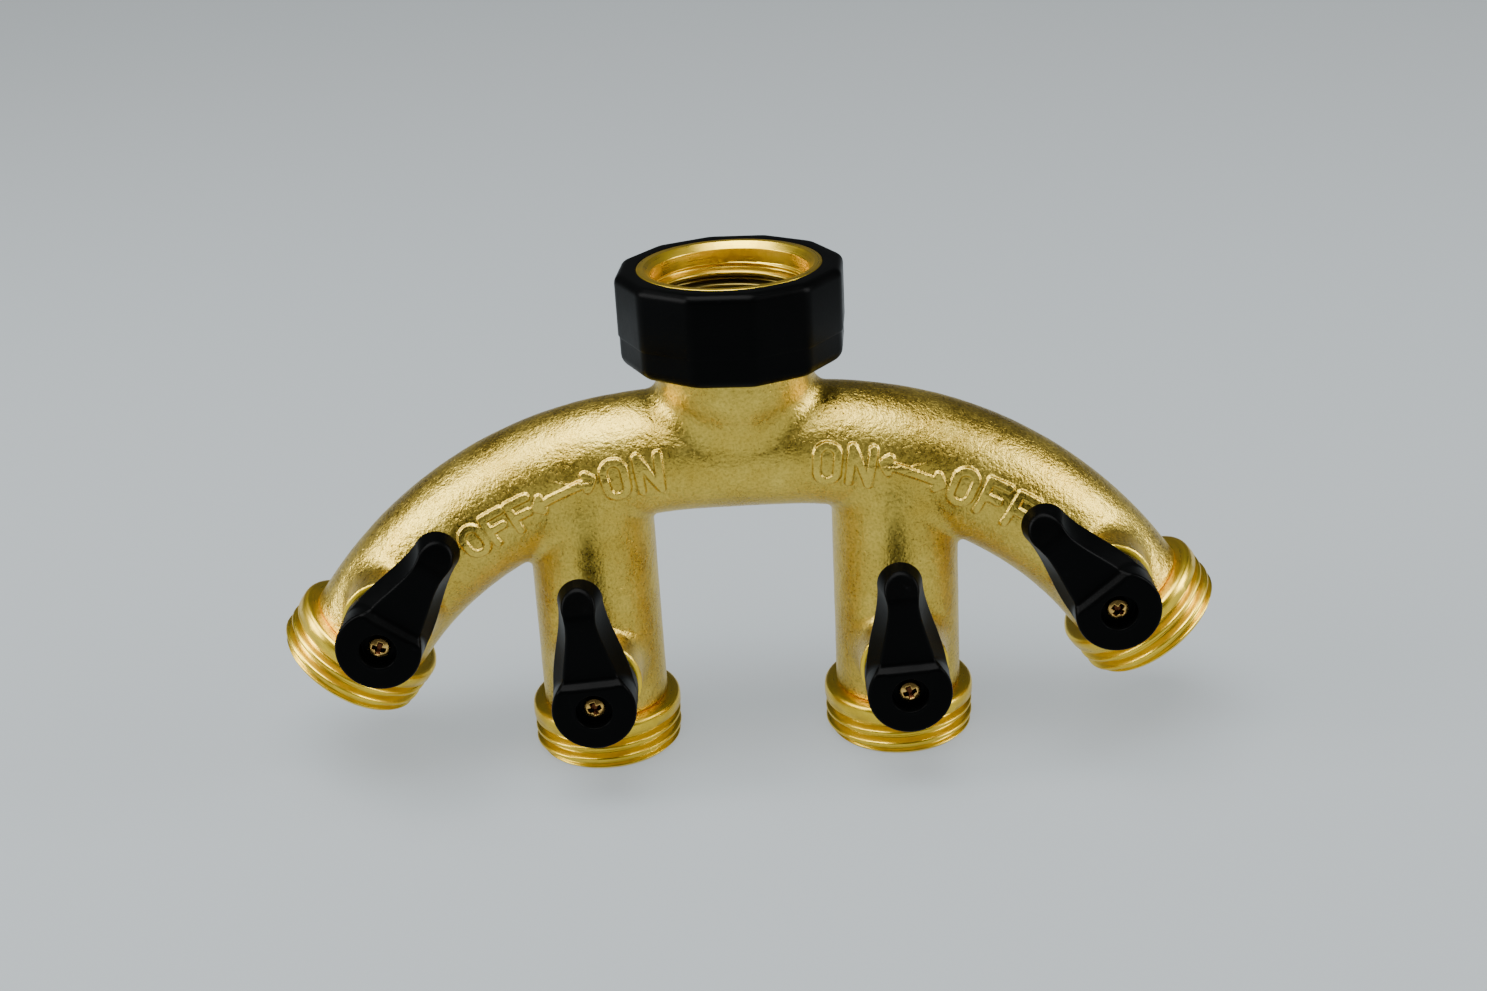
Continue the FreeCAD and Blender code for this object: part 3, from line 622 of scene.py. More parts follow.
OUTLET_TURNS = 3
OUTLET_RUNOUT = 0.2 * THREAD_PITCH
FLANGE_SHOULDER = 1.3 * MM
OUTLET_BORE_RADIUS = 8.0 * MM
OUTLET_THROAT_RADIUS = 6.0 * MM
OUTLET_END_RADIUS = 12.2 * MM
OUTLET_BORE_TAPER = 1.0 * MM
OUTLET_MOUTH_EDGE = 0.5 * MM
OUTLET_EDGE = 0.2 * MM
SPIGOT_RADIUS = 9.9 * MM
SPIGOT_LENGTH = 4.6 * MM
SEAT_POCKET_RADIUS = 8.55 * MM
SEAT_POCKET_FLOOR = 1.4 * MM


def outlet_mesh():
    """A threaded outlet, about its own axis with the joint plane at height 0."""
    bottom = -(FLANGE_THICKNESS + THREAD_PITCH * OUTLET_TURNS)

    def limit(height):
        near_flange = float(smooth((height + FLANGE_THICKNESS + OUTLET_RUNOUT) / OUTLET_RUNOUT))
        least = OUTLET_MINOR + (OUTLET_MAJOR - OUTLET_MINOR) * near_flange
        most = OUTLET_CREST + (OUTLET_MAJOR - OUTLET_CREST) * near_flange
        return least, min(OUTLET_END_RADIUS + height - bottom, most)

    thread = thread_rows(OUTLET_MINOR, OUTLET_CREST, bottom, -FLANGE_THICKNESS, limit)
    upper = soften([
        (OUTLET_MAJOR, -FLANGE_THICKNESS),
        (OUTLET_MAJOR, 0.0, FLANGE_SHOULDER),
        (SPIGOT_RADIUS, 0.0),
        (SPIGOT_RADIUS, SPIGOT_LENGTH),
        (SEAT_POCKET_RADIUS, SPIGOT_LENGTH),
        (SEAT_POCKET_RADIUS, SEAT_POCKET_FLOOR),
        (OUTLET_THROAT_RADIUS, SEAT_POCKET_FLOOR),
        (OUTLET_THROAT_RADIUS, -FLANGE_THICKNESS),
        (OUTLET_BORE_RADIUS, -FLANGE_THICKNESS - OUTLET_BORE_TAPER),
        (OUTLET_BORE_RADIUS, bottom, OUTLET_MOUTH_EDGE),
        (OUTLET_END_RADIUS, bottom),
    ], OUTLET_EDGE)
    return turned_mesh("outlet_mesh", thread + between_ends(upper))


# ---- nut and washer ----

NUT_THREAD_LENGTH = mounts["inlet"]["dims"]["length_mm"] * MM
NUT_THREAD_LEAD = 1.0 * MM
NUT_RELIEF_RADIUS = 12.9 * MM
NUT_LIP_TOP_DEPTH = 4.0 * MM
NUT_LIP_RADIUS = 10.0 * MM
NUT_ENTRY_RADIUS = 13.3 * MM
NUT_RIM_RADIUS = 14.4 * MM
NUT_EDGE = 0.18 * MM
SHADING_ROW = 0.01 * MM

GRIP_SIDES = 12
GRIP_COLUMNS = 24 * GRIP_SIDES
GRIP_TURN = 10.0
GRIP_ACROSS_CORNERS = 39.2 * MM
GRIP_CORNER_RADIUS = 3.4 * MM
GRIP_BORE_RADIUS = 13.9 * MM
GRIP_FIT_GAP = 0.02 * MM
GRIP_BORE_EDGE = 0.25 * MM
GRIP_TOP_EDGE = 1.5 * MM
GRIP_LOW_EDGE = 2.3 * MM
GRIP_EDGE_STEPS = 6
# a shallow step runs round the moulding, with a bend part of the way up it
GRIP_STEP = 0.22 * MM
GRIP_STEP_HEIGHT = 5.2 * MM
GRIP_STEP_RISE = 0.5 * MM
GRIP_STEP_BEND = (0.8, 0.3)
# an outline's end corners only lead it in and out, this far off
LEAD = 1.0 * MM

WASHER_BORE = 8.0 * MM
WASHER_EDGE = 0.45 * MM


def nut_ring_mesh():
    """The nut's brass ring, with its hose thread inside."""
    low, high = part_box("inlet_nut_ring")
    outer = high.x
    thread_top = NUT_THREAD_LENGTH

    def limit(height):
        return max(INLET_MINOR, INLET_MINOR + height - (thread_top - NUT_THREAD_LEAD)), INLET_MAJOR

    thread = thread_rows(INLET_MAJOR, INLET_MINOR, 0.0, thread_top, limit)
    lower = soften([
        (NUT_RELIEF_RADIUS, 0.0),
        (NUT_RELIEF_RADIUS, -NUT_LIP_TOP_DEPTH),
        (NUT_LIP_RADIUS, -NUT_LIP_TOP_DEPTH),
        (NUT_LIP_RADIUS, low.z),
        (outer, low.z),
        (outer, high.z),
        (NUT_RIM_RADIUS, high.z),
        (NUT_ENTRY_RADIUS, high.z - (NUT_RIM_RADIUS - NUT_ENTRY_RADIUS)),
        (NUT_ENTRY_RADIUS, thread_top),
    ], NUT_EDGE)
    # the corners where the thread begins and ends stay sharp, so that the outline can't fold back there,
    # and a row close to each keeps the wall beyond it evenly shaded
    first = [(NUT_RELIEF_RADIUS, 0.0), (NUT_RELIEF_RADIUS, -SHADING_ROW)]
    last = [(NUT_ENTRY_RADIUS, thread_top + SHADING_ROW), (NUT_ENTRY_RADIUS, thread_top)]
    return turned_mesh("inlet_nut_ring_mesh", thread[::-1] + first + between_ends(lower) + last)


def grip_mesh():
    """The nut's moulding: a twelve-sided outside with soft corners, on a round bore."""
    low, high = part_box("inlet_nut_grip")
    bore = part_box("inlet_nut_ring")[1].x
    half_side = math.pi / GRIP_SIDES
    flat = GRIP_ACROSS_CORNERS / 2 * math.cos(half_side)

    def outside(inset, height):
        def row(angle):
            return grip_radius(angle, flat - inset), height
        return row

    quarters = [math.pi / 2 * step / GRIP_EDGE_STEPS for step in range(GRIP_EDGE_STEPS + 1)]
    rows = []
    for angle in quarters:
        rows.append(outside(GRIP_STEP + GRIP_LOW_EDGE * (1 - math.sin(angle)),
                            low.z + GRIP_LOW_EDGE * (1 - math.cos(angle))))
    for inset, rise in ((1, 0), GRIP_STEP_BEND, (0, 1)):
        rows.append(outside(GRIP_STEP * inset, low.z + GRIP_STEP_HEIGHT + GRIP_STEP_RISE * rise))
    for angle in quarters:
        rows.append(outside(GRIP_TOP_EDGE * (1 - math.cos(angle)),
                            high.z - GRIP_TOP_EDGE * (1 - math.sin(angle))))
    inner = soften([
        (bore + LEAD, high.z),
        (bore + GRIP_FIT_GAP, high.z),
        (bore + GRIP_FIT_GAP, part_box("inlet_nut_ring")[0].z),
        (GRIP_BORE_RADIUS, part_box("inlet_nut_ring")[0].z),
        (GRIP_BORE_RADIUS, low.z),
        (GRIP_BORE_RADIUS + LEAD, low.z),
    ], GRIP_BORE_EDGE)
    return turned_mesh("inlet_nut_grip_mesh", rows + between_ends(inner), GRIP_COLUMNS)


def grip_radius(angle, flat):
    """Radius of a twelve-sided outline with rounded corners, at an angle about the nut's axis."""
    sector = 2 * math.pi / GRIP_SIDES
    from_corner = (angle - (270 + GRIP_TURN) * DEGREE + sector / 2) % sector - sector / 2
    centre = (flat - GRIP_CORNER_RADIUS) / math.cos(sector / 2)
    from_flat = sector / 2 - abs(from_corner)
    tangent = math.atan((flat - GRIP_CORNER_RADIUS) * math.tan(sector / 2) / flat)
    if from_flat < tangent:
        return flat / math.cos(from_flat)
    reach_in = centre * math.sin(from_corner)
    return centre * math.cos(from_corner) + math.sqrt(GRIP_CORNER_RADIUS ** 2 - reach_in ** 2)


def washer_mesh():
    """The hose washer: a flat ring with soft edges."""
    low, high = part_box("inlet_washer")
    outline = [(WASHER_BORE, low.z), (high.x, low.z), (high.x, high.z), (WASHER_BORE, high.z)]
    return turned_mesh("inlet_washer_mesh", soften(outline, WASHER_EDGE))


# ---- handle ----
# The handle, its screw and the ball are drawn about the ball's centre, with z out along the stem.

HUB_RADIUS = 7.2 * MM
HUB_BASE = 17.3 * MM
HUB_FACE = 26.3 * MM
HUB_FACE_END = 4.2 * MM
STEP_END = 5.5 * MM
STEP_HEIGHT = 24.7 * MM
CREST_REACH = 17.2 * MM
CREST_HEIGHT = 26.5 * MM
TIP_REACH = 22.5 * MM
TIP_HEIGHT = 23.3 * MM
LEVER_BASE = 20.6 * MM
TIP_RADIUS = 3.9 * MM
FACET_AT_HUB = 3.9 * MM
FACET_AT_TIP = 1.3 * MM
FLARE_POWER = 1.15
RIM_RADIUS = 0.8 * MM
HANDLE_EDGE = 0.4 * MM
HANDLE_VOXEL = 0.17 * MM
WELL_RADIUS = 3.1 * MM
SCREW_SEAT = 24.0 * MM
DRIVE_RADIUS = 2.95 * MM
DRIVE_FLAT = 2.25 * MM
STEM_TOP = 22.35 * MM
SCREW_HOLE_RADIUS = 1.0 * MM
RECESS_GAP = 0.2 * MM
RECESS_INNER = LUG_INNER_RADIUS - RECESS_GAP
RECESS_OUTER = LUG_OUTER_RADIUS + RECESS_GAP
RECESS_TOP = 19.2 * MM
RECESS_END_GAP = 1.0
RECESS_ANGLE = STOP_PAST_ON + STOP_PAST_OFF + LUG_ANGLE + 2 * RECESS_END_GAP
# room round a shape when its field is sampled
MARGIN = 1.0 * MM


def slope_field(y, z, start, end):
    """Signed distance above the line through two (y, z) places, positive on its upper side."""
    run, rise = end[0] - start[0], end[1] - start[1]
    length = math.hypot(run, rise)
    return ((z - start[1]) * run - (y - start[0]) * rise) / length


def lever_plan(x, y, z):
    """Distance from the lever's outline, which narrows from the hub to the tip and towards its top."""
    span = TIP_REACH - TIP_RADIUS
    share = np.clip(y / span, 0, 1)
    height = np.clip((z - LEVER_BASE) / (CREST_HEIGHT - LEVER_BASE), 0, 1)
    inset = height * (FACET_AT_HUB + (FACET_AT_TIP - FACET_AT_HUB) * share)
    half_width = TIP_RADIUS + (HUB_RADIUS - TIP_RADIUS) * (1 - smooth(share ** FLARE_POWER)) - inset
    beyond = np.maximum(np.maximum(y - span, -y), 0)
    return np.hypot(x, beyond) - half_width


def handle_field(x, y, z):
    """The hub and lever, with the screw's well above and the stem's socket and the stop's recess below."""
    column = np.hypot(x, y) - HUB_RADIUS
    lever = rounded(lever_plan(x, y, z), LEVER_BASE - z, HANDLE_EDGE)
    hub = rounded(rounded(column, HUB_BASE - z, HANDLE_EDGE), z - HUB_FACE, RIM_RADIUS)
    face = rounded(z - HUB_FACE, slope_field(y, z, (HUB_FACE_END, HUB_FACE), (STEP_END, STEP_HEIGHT)),
                   HANDLE_EDGE)
    ramp = slope_field(y, z, (STEP_END, STEP_HEIGHT), (CREST_REACH, CREST_HEIGHT))
    fall = slope_field(y, z, (CREST_REACH, CREST_HEIGHT), (TIP_REACH, TIP_HEIGHT))
    back = rounded(ramp, fall, 2 * HANDLE_EDGE)
    top = fillet(face, back, 1.5 * HANDLE_EDGE)
    solid = rounded(fillet(lever, hub, HANDLE_EDGE), top, HANDLE_EDGE)
    radial = np.hypot(x, y)
    well = np.maximum(radial - WELL_RADIUS, SCREW_SEAT - z)
    solid = rounded(solid, -well, HANDLE_EDGE / 2)
    socket = np.maximum(np.maximum(radial - DRIVE_RADIUS, np.abs(x) - DRIVE_FLAT), z - STEM_TOP)
    hole = np.maximum(radial - SCREW_HOLE_RADIUS, z - HUB_FACE)
    swing = np.abs(np.arctan2(x, -y)) - RECESS_ANGLE / 2 * DEGREE
    recess = np.maximum(np.maximum(radial - RECESS_OUTER, RECESS_INNER - radial),
                        np.maximum(swing * radial, z - RECESS_TOP))
    return np.maximum(solid, -np.minimum.reduce([socket, hole, recess]))


def handle_mesh():
    side = HUB_RADIUS + MARGIN
    low = (-side, -side, HUB_BASE - MARGIN)
    high = (side, TIP_REACH + MARGIN, CREST_HEIGHT + MARGIN)
    return field_mesh("handle_mesh", handle_field, low, high, HANDLE_VOXEL)


# ---- handle screw ----

SCREW_HEAD_RADIUS = 1.9 * MM
SCREW_HEAD_HEIGHT = 1.3 * MM
SCREW_SHANK_RADIUS = 0.98 * MM
SCREW_LENGTH = 8.0 * MM
SCREW_DOME = 3.2 * MM
SCREW_HEAD_EDGE = 0.2 * MM
# painted shade: how far below the head's dome the cross recess is fully darkened in the colour
SCREW_SHADE_DEPTH = 0.3 * MM
SCREW_MARGIN = 0.3 * MM
SCREW_VOXEL = 0.075 * MM
# the cross recess narrows by these shares of its width on the way down
CROSS_TURN = 14.0
CROSS_SPAN = 1.45 * MM
CROSS_HALF_WIDTH = 0.46 * MM
CROSS_DEPTH = 1.15 * MM
CROSS_SPAN_TAPER = 0.65
CROSS_WIDTH_TAPER = 0.35
CROSS_EDGE = 0.06 * MM


def screw_dome(x, y, z):
    """Distance from the sphere that the top of the head is part of."""
    return np.hypot(np.hypot(x, y), z - (SCREW_SEAT + SCREW_HEAD_HEIGHT - SCREW_DOME)) - SCREW_DOME


def screw_field(x, y, z):
    """A pan-head screw with a tapering cross recess."""
    radial = np.hypot(x, y)
    top = SCREW_SEAT + SCREW_HEAD_HEIGHT
    head = rounded(radial - SCREW_HEAD_RADIUS, screw_dome(x, y, z), SCREW_HEAD_EDGE)
    head = np.maximum(head, SCREW_SEAT - z)
    shank = np.maximum(radial - SCREW_SHANK_RADIUS, SCREW_SEAT - SCREW_LENGTH - z)
    shank = np.maximum(shank, z - SCREW_SEAT - SCREW_HEAD_HEIGHT / 2)
    sunk = np.clip((top - z) / CROSS_DEPTH, 0, 1)
    lean = CROSS_TURN * DEGREE
    x, y = x * math.cos(lean) + y * math.sin(lean), y * math.cos(lean) - x * math.sin(lean)
    long_side = CROSS_SPAN * (1 - CROSS_SPAN_TAPER * sunk)
    short_side = CROSS_HALF_WIDTH * (1 - CROSS_WIDTH_TAPER * sunk)
    first = np.maximum(np.abs(x) - long_side, np.abs(y) - short_side)
    second = np.maximum(np.abs(y) - long_side, np.abs(x) - short_side)
    cross = np.maximum(np.minimum(first, second), top - CROSS_DEPTH - z)
    return rounded(np.minimum(head, shank), -cross, CROSS_EDGE)


def screw_mesh():
    side = SCREW_HEAD_RADIUS + SCREW_MARGIN
    low = (-side, -side, SCREW_SEAT - SCREW_LENGTH - SCREW_MARGIN)
    high = (side, side, SCREW_SEAT + SCREW_HEAD_HEIGHT + SCREW_MARGIN)
    mesh = field_mesh("screw_mesh", screw_field, low, high, SCREW_VOXEL)
    # painted shade: the cross recess is darkened in the colour, the more the deeper below the dome
    give_points(mesh, "recess", smooth(-screw_dome(*places_of(mesh).T) / SCREW_SHADE_DEPTH))
    return mesh


# ---- ball ----

BALL_RADIUS = 8.0 * MM
BALL_VOXEL = 0.25 * MM
PORT_RADIUS = 4.8 * MM
PORT_EDGE = 0.25 * MM
SLOT_HALF_WIDTH = 1.6 * MM
SLOT_FLOOR = 6.0 * MM
SLOT_EDGE = 0.1 * MM


def ball_field(x, y, z):
    """A bored ball with a slot across its top for the stem's tang."""
    sphere = np.sqrt(x * x + y * y + z * z) - BALL_RADIUS
    port = np.hypot(x, z) - PORT_RADIUS
    slot = np.maximum(np.abs(y) - SLOT_HALF_WIDTH, SLOT_FLOOR - z)
    return rounded(rounded(sphere, -port, PORT_EDGE), -slot, SLOT_EDGE)


def ball_mesh():
    side = BALL_RADIUS + MARGIN
    return field_mesh("ball_mesh", ball_field, (-side,) * 3, (side,) * 3, BALL_VOXEL)


# ---- materials ----

TURNING_STRETCH = 60.0


class Paint:
    """A node material being put together, with its Principled shader ready."""

    def __init__(self, name, **settings):
        self.material = bpy.data.materials.new(name)
        self.material.use_nodes = True
        self.tree = self.material.node_tree
        self.shader = self.tree.nodes["Principled BSDF"]
        self.place = self.add("ShaderNodeTexCoord").outputs["Object"]
        for label, value in settings.items():
            self.set(label.replace("_", " "), value)

    def add(self, kind, **properties):
        node = self.tree.nodes.new(kind)
        for key, value in properties.items():
            setattr(node, key, value)
        return node

    def feed(self, socket, value):
        """Link an output to a socket, or set the socket's value."""
        if isinstance(value, bpy.types.NodeSocket):
            self.tree.links.new(value, socket)
        else:
            socket.default_value = value

    def set(self, label, value):
        self.feed(self.shader.inputs[label], value)

    def math(self, operation, first, second=0.0):
        node = self.add("ShaderNodeMath", operation=operation)
        self.feed(node.inputs[0], first)
        self.feed(node.inputs[1], second)
        return node.outputs[0]

    def noise(self, size, detail=2.0, rough=0.5, place=None):
        """Noise with features of a size in metres."""
        node = self.add("ShaderNodeTexNoise")
        self.feed(node.inputs["Vector"], place or self.place)
        self.feed(node.inputs["Scale"], 1 / size)
        self.feed(node.inputs["Detail"], detail)
        self.feed(node.inputs["Roughness"], rough)
        return node.outputs["Fac"]

    def cells(self, size):
        """Distance to the nearest of scattered points, about a size apart."""
        node = self.add("ShaderNodeTexVoronoi")
        self.feed(node.inputs["Vector"], self.place)
        self.feed(node.inputs["Scale"], 1 / size)
        return node.outputs["Distance"]

    def ramp(self, value, low, high, start=0.0, end=1.0):
        """Value between low and high, turned into start to end."""
        node = self.add("ShaderNodeMapRange")
        for label, given in zip(("Value", "From Min", "From Max", "To Min", "To Max"),
                                (value, low, high, start, end)):
            self.feed(node.inputs[label], given)
        return node.outputs[0]

    def mix(self, share, first, second):
        node = self.add("ShaderNodeMix", data_type="RGBA")
        self.feed(node.inputs["Factor"], share)
        self.feed(node.inputs[6], first)
        self.feed(node.inputs[7], second)
        return node.outputs[2]

    def attribute(self, name):
        return self.add("ShaderNodeAttribute", attribute_name=name).outputs["Fac"]

    def bump(self, height, depth, strength=1.0, under=None):
        """Bump of a depth in metres, on top of another one."""
        node = self.add("ShaderNodeBump")
        self.feed(node.inputs["Height"], height)
        self.feed(node.inputs["Distance"], depth)
        self.feed(node.inputs["Strength"], strength)
        if under is not None:
            self.feed(node.inputs["Normal"], under)
        return node.outputs["Normal"]

    def turned_place(self):
        """Places on rings about the piece's own z, squeezed so that noise draws turning lines, and the z."""
        own = self.add("ShaderNodeAttribute", attribute_name="own_place").outputs["Vector"]
        split = self.add("ShaderNodeSeparateXYZ")
        self.feed(split.inputs[0], own)
        x, y, z = split.outputs
        squares = self.math("ADD", self.math("MULTIPLY", x, x), self.math("MULTIPLY", y, y))
        joined = self.add("ShaderNodeCombineXYZ")
        self.feed(joined.inputs[0], self.math("SQRT", squares))
        self.feed(joined.inputs[1], self.math("DIVIDE", x, TURNING_STRETCH))
        self.feed(joined.inputs[2], z)
        return joined.outputs[0], z


CAST_TONE = (0.61, 0.42, 0.058, 1)
CAST_PALE = (0.84, 0.64, 0.12, 1)
CAST_DARK = (0.25, 0.15, 0.014, 1)
BRIGHT_BRASS = (0.88, 0.62, 0.050, 1)
STAINED_BRASS = (0.60, 0.37, 0.020, 1)
# painted shade for the screw's cross recess
RECESS_PAINTED_SHADE = (0.09, 0.03, 0.012, 1)
# painted shade: the colour deep in the nut's bore, where little light reaches
BORE_PAINTED_SHADE = (0.16, 0.12, 0.03, 1)
PLASTIC_DARK = (0.0006, 0.0007, 0.0007, 1)
PLASTIC_PALE = (0.0014, 0.0015, 0.0015, 1)
PLASTIC_SCUFF = (0.008, 0.008, 0.009, 1)
RUBBER_DARK = (0.008, 0.008, 0.008, 1)
RUBBER_PALE = (0.02, 0.019, 0.018, 1)
SEAT_SHADE = (0.72, 0.71, 0.68, 1)
SEAT_WHITE = (0.85, 0.84, 0.81, 1)
SCREW_LIGHT = (0.80, 0.52, 0.15, 1)
SCREW_DARK = (0.50, 0.29, 0.08, 1)
CHROME_LIGHT = (0.62, 0.62, 0.63, 1)
CHROME_DARK = (0.52, 0.52, 0.53, 1)
STEEL_LIGHT = (0.46, 0.45, 0.44, 1)
STEEL_DARK = (0.30, 0.29, 0.28, 1)
FLOOR_TONE = (0.14, 0.158, 0.168, 1)
FLOOR_TONE_TOO = (0.142, 0.160, 0.170, 1)
FLOOR_LIGHT = (0.90, 0.97, 1.0, 1)
FLOOR_GLOW = 0.455
# painted shade in the nut's bore starts this far below its top and deepens over the next distance
BORE_UNSHADED_DEPTH = 3.6 * MM
BORE_SHADE_FADE = 2.5 * MM


def cast_brass():
    """Blasted cast brass, bright where it has been machined."""
    paint = Paint("cast_brass", Metallic=1.0)
    machined = paint.math("SUBTRACT", 1.0, paint.attribute("cast"))
    cloud = paint.noise(9 * MM, 3.0, 0.6)
    grain = paint.noise(0.5 * MM, 3.0, 0.6)
    pits = paint.ramp(paint.cells(1.1 * MM), 0.0, 0.22)
    tone = paint.mix(paint.ramp(cloud, 0.3, 0.7), CAST_TONE, CAST_PALE)
    tone = paint.mix(paint.ramp(grain, 0.6, 0.35, 0.0, 0.4), tone, CAST_DARK)
    tone = paint.mix(paint.ramp(pits, 0.0, 1.0, 0.2, 0.0), tone, CAST_DARK)
    # painted highlight: the raised marks are made paler than the casting round them
    tone = paint.mix(paint.math("MULTIPLY", paint.attribute("mark"), 0.3), tone, CAST_PALE)
    paint.set("Base Color", paint.mix(machined, tone, BRIGHT_BRASS))
    dull = paint.ramp(cloud, 0.3, 0.7, 0.27, 0.36)
    dull = paint.math("ADD", dull, paint.ramp(grain, 0.3, 0.7, -0.06, 0.06))
    paint.set("Roughness", paint.math("ADD", dull, paint.math("MULTIPLY", machined, 0.04)))
    skin = paint.attribute("cast")
    under = paint.bump(paint.noise(1.6 * MM, 2.0), 0.16 * MM, skin)
    under = paint.bump(grain, 0.13 * MM, skin, under)
    paint.set("Normal", paint.bump(pits, 0.05 * MM, skin, under))
    return paint.material


def machined_brass(name, painted_shade_below=None):
    """Turned brass with fine rings from the tool and faint stains. A bore may be darkened below a height with
    painted shade, where little light reaches.
    """
    paint = Paint(name, Metallic=1.0)
    rings, height = paint.turned_place()
    lines = paint.noise(0.16 * MM, 2.0, 0.5, rings)
    stain = paint.noise(4 * MM, 4.0, 0.65)
    tone = paint.mix(paint.ramp(stain, 0.45, 0.75, 0.0, 0.7), BRIGHT_BRASS, STAINED_BRASS)
    # painted shade: below the given height the bore darkens in the colour
    if painted_shade_below is not None:
        depth = paint.ramp(height, painted_shade_below, painted_shade_below - BORE_SHADE_FADE)
        tone = paint.mix(depth, tone, BORE_PAINTED_SHADE)
    paint.set("Base Color", tone)
    paint.set("Roughness", paint.math("ADD", paint.ramp(lines, 0.3, 0.7, 0.24, 0.34),
                                      paint.ramp(stain, 0.4, 0.8, 0.0, 0.12)))
    paint.set("Normal", paint.bump(lines, 0.012 * MM))
    return paint.material


def black_plastic():
    """Moulded black plastic with a satin skin and a few fine scuffs."""
    paint = Paint("black_plastic", Specular_IOR_Level=0.035)
    cloud = paint.noise(6 * MM, 3.0, 0.6)
    grain = paint.noise(0.35 * MM, 2.0)
    scuffs = paint.ramp(paint.noise(1.3 * MM, 5.0, 0.75), 0.62, 0.72)
    tone = paint.mix(cloud, PLASTIC_DARK, PLASTIC_PALE)
    paint.set("Base Color", paint.mix(paint.math("MULTIPLY", scuffs, 0.25), tone, PLASTIC_SCUFF))
    paint.set("Roughness", paint.math("ADD", paint.ramp(cloud, 0.3, 0.7, 0.30, 0.38),
                                      paint.math("MULTIPLY", scuffs, 0.12)))
    paint.set("Normal", paint.bump(grain, 0.012 * MM))
    return paint.material


def rubber():
    """Matte black rubber."""
    paint = Paint("rubber")
    grain = paint.noise(0.3 * MM, 3.0, 0.6)
    paint.set("Base Color", paint.mix(grain, RUBBER_DARK, RUBBER_PALE))
    paint.set("Roughness", paint.ramp(grain, 0.3, 0.7, 0.6, 0.8))
    paint.set("Normal", paint.bump(grain, 0.03 * MM))
    return paint.material


def seat_plastic():
    """White low-friction plastic, slightly waxy."""
    paint = Paint("seat_plastic", Subsurface_Weight=0.05)
    cloud = paint.noise(2 * MM, 3.0)
    paint.set("Base Color", paint.mix(cloud, SEAT_SHADE, SEAT_WHITE))
    paint.set("Roughness", paint.ramp(cloud, 0.3, 0.7, 0.38, 0.5))
    paint.set("Normal", paint.bump(paint.noise(0.25 * MM), 0.01 * MM))
    return paint.material


def plating(name, light, dark, dull, depth):
    """Plated or bare bright metal: two tones, a middle roughness and a depth of fine scratches."""
    paint = Paint(name, Metallic=1.0)
    cloud = paint.noise(1.5 * MM, 4.0, 0.65)
    fine = paint.noise(0.12 * MM, 2.0, 0.6)
    tone = paint.mix(paint.ramp(cloud, 0.35, 0.75), light, dark)
    # painted shade: a piece's colour darkens where its recess share is high
    paint.set("Base Color", paint.mix(paint.attribute("recess"), tone, RECESS_PAINTED_SHADE))
    paint.set("Roughness", paint.math("ADD", paint.ramp(cloud, 0.3, 0.7, dull - 0.05, dull + 0.05),
                                      paint.ramp(fine, 0.3, 0.7, -0.02, 0.02)))
    paint.set("Normal", paint.bump(fine, depth))
    return paint.material


def studio_floor():
    """Pale even paper."""
    paint = Paint("studio_floor", Roughness=0.9, Specular_IOR_Level=0.1)
    fibre = paint.noise(3 * MM, 3.0)
    paint.set("Base Color", paint.mix(fibre, FLOOR_TONE, FLOOR_TONE_TOO))
    paint.set("Emission Color", FLOOR_LIGHT)
    paint.set("Emission Strength", FLOOR_GLOW)
    return paint.material


MATERIALS = {
    "cast_brass": cast_brass(),
    "machined_brass": machined_brass("machined_brass"),
    # the nut's bore gets painted shade below its upper part
    "nut_brass": machined_brass("nut_brass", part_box("inlet_nut_ring")[1].z - BORE_UNSHADED_DEPTH),
    "black_plastic": black_plastic(),
    "rubber": rubber(),
    "seat_plastic": seat_plastic(),
    "screw_plating": plating("screw_plating", SCREW_LIGHT, SCREW_DARK, 0.24, 0.01 * MM),
    "ball_plating": plating("ball_plating", CHROME_LIGHT, CHROME_DARK, 0.1, 0.002 * MM),
    "spring_steel": plating("spring_steel", STEEL_LIGHT, STEEL_DARK, 0.3, 0.008 * MM),
}


# ---- the pieces in their places ----


def show(name, mesh, body, finish, node, place=None):
    """Put a piece in place of a CAD node, riding on its body."""
    piece = bpy.data.objects.new(name, mesh.copy())
    bpy.context.scene.collection.objects.link(piece)
    # the materials' turning lines follow the piece's own axis, wherever it is placed
    own_place = piece.data.attributes.new("own_place", "FLOAT_VECTOR", "POINT")
    own_place.data.foreach_set("vector", places_of(mesh).astype(np.float32).ravel())
    if place is not None:
        piece.data.transform(place)
    piece.data.materials.append(MATERIALS[finish])
    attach(piece, body)
    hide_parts(node)
    return piece


show("cast_manifold", casting_mesh(), "manifold", "cast_brass", "manifold_casting")
show("swivel_nut_ring", nut_ring_mesh(), "inlet_nut", "nut_brass", "inlet_nut_ring")
show("swivel_nut_grip", grip_mesh(), "inlet_nut", "black_plastic", "inlet_nut_grip")
show("hose_washer", washer_mesh(), "inlet_nut", "rubber", "inlet_washer")

threaded_outlet = outlet_mesh()
lever = handle_mesh()
lever_screw = screw_mesh()
valve_ball = ball_mesh()
for branch in BRANCHES:
    show(f"{branch}_threaded_outlet", threaded_outlet, "manifold", "machined_brass",
         f"{branch}_outlet", outlet_place(branch))
    turned = valve_place(branch, turned=True)
    valve = f"{branch}_valve"
    show(f"{branch}_lever", lever, valve, "black_plastic", f"{branch}_handle", turned)
    show(f"{branch}_lever_screw", lever_screw, valve, "screw_plating", f"{branch}_handle_screw", turned)
    show(f"{branch}_valve_ball", valve_ball, valve, "ball_plating", f"{branch}_ball", turned)

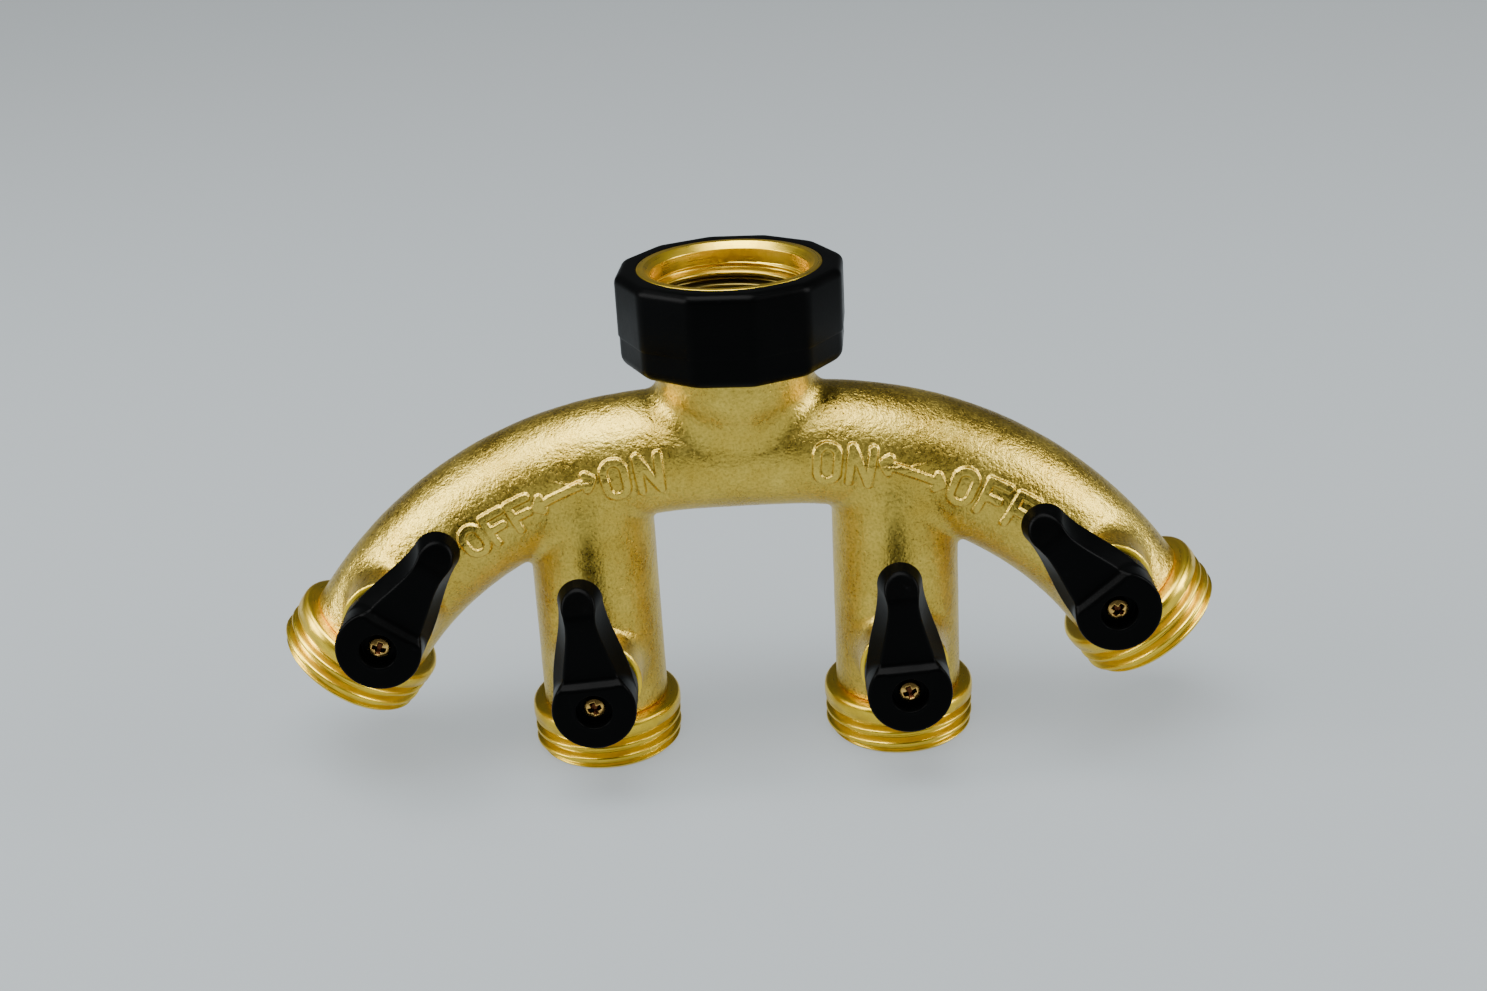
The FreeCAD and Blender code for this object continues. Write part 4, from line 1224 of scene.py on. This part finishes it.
# the hidden CAD pieces keep their shapes
CARRIED_FINISH = {
    "nut_retaining_ring": "spring_steel",
    "seat": "seat_plastic",
    "stem": "machined_brass",
    "seal": "rubber",
    "washer": "seat_plastic",
}
for name, node in frame["nodes"].items():
    if node.hide_render:
        continue
    finish = next(finish for ending, finish in CARRIED_FINISH.items() if name.endswith(ending))
    node.data.materials.clear()
    node.data.materials.append(MATERIALS[finish])


# ---- studio ----

FLOOR_HALF = 6.0
SKY_TONE = (0.93, 0.97, 1.0, 1)
SKY_STRENGTH = 0.10
LIGHTS_AIM = (0, 0, -0.04)
# each softbox's name, place, width and height in metres, and its power in watts
SOFTBOXES = (
    ("top", (-0.12, -0.16, 0.78), 0.8, 0.6, 14),
    ("left", (-0.75, -0.15, 0.35), 0.35, 0.5, 7),
    ("right", (0.75, -0.15, 0.3), 0.35, 0.5, 6),
)
# angles in degrees, lens and sensor in millimetres
CAMERA_PLACE = Vector((2.29, -309.28, 95.11)) * MM
CAMERA_YAW = -0.37
CAMERA_PITCH = -22.58
CAMERA_ROLL = -3.17
CAMERA_LENS = 46.18
CAMERA_SENSOR = 36.0
CAMERA_NEAR = 0.01
CAMERA_FAR = 50.0


def floor():
    """A pale floor under the object, wide enough to fill the view."""
    half = FLOOR_HALF
    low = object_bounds()[0].z
    corners = np.array([(-half, -half, low), (half, -half, low), (half, half, low), (-half, half, low)])
    sheet = bpy.data.objects.new("studio_floor", mesh_from("studio_floor", corners, [(0, 1, 2, 3)]))
    sheet.data.materials.append(studio_floor())
    bpy.context.scene.collection.objects.link(sheet)


def softbox(name, place, width, height, power):
    """A rectangular light, turned towards the object."""
    light = bpy.data.lights.new(name, "AREA")
    light.shape = "RECTANGLE"
    light.size = width
    light.size_y = height
    light.energy = power
    lamp = bpy.data.objects.new(name, light)
    bpy.context.scene.collection.objects.link(lamp)
    lamp.location = place
    lamp.rotation_euler = (Vector(LIGHTS_AIM) - Vector(place)).to_track_quat("-Z", "Y").to_euler()


def sky():
    """Faint even light from all round."""
    world = bpy.data.worlds.new("studio")
    bpy.context.scene.world = world
    world.use_nodes = True
    backdrop = world.node_tree.nodes["Background"]
    backdrop.inputs["Color"].default_value = SKY_TONE
    backdrop.inputs["Strength"].default_value = SKY_STRENGTH


def camera():
    """The photographer's view, worked out from the object's outline."""
    lens = bpy.data.cameras.new("camera")
    lens.lens = CAMERA_LENS
    lens.sensor_width = CAMERA_SENSOR
    lens.clip_start = CAMERA_NEAR
    lens.clip_end = CAMERA_FAR
    eye = bpy.data.objects.new("camera", lens)
    bpy.context.scene.collection.objects.link(eye)
    ahead = Vector((
        math.sin(CAMERA_YAW * DEGREE) * math.cos(CAMERA_PITCH * DEGREE),
        math.cos(CAMERA_YAW * DEGREE) * math.cos(CAMERA_PITCH * DEGREE),
        math.sin(CAMERA_PITCH * DEGREE),
    ))
    right = ahead.cross(Vector((0, 0, 1))).normalized()
    up = right.cross(ahead)
    roll = CAMERA_ROLL * DEGREE
    leaning_right = right * math.cos(roll) + up * math.sin(roll)
    leaning_up = up * math.cos(roll) - right * math.sin(roll)
    turn = Matrix((leaning_right, leaning_up, -ahead)).transposed().to_4x4()
    eye.matrix_world = Matrix.Translation(CAMERA_PLACE) @ turn
    bpy.context.scene.camera = eye


floor()
camera()
sky()
for name, place, width, height, power in SOFTBOXES:
    softbox(name, place, width, height, power)
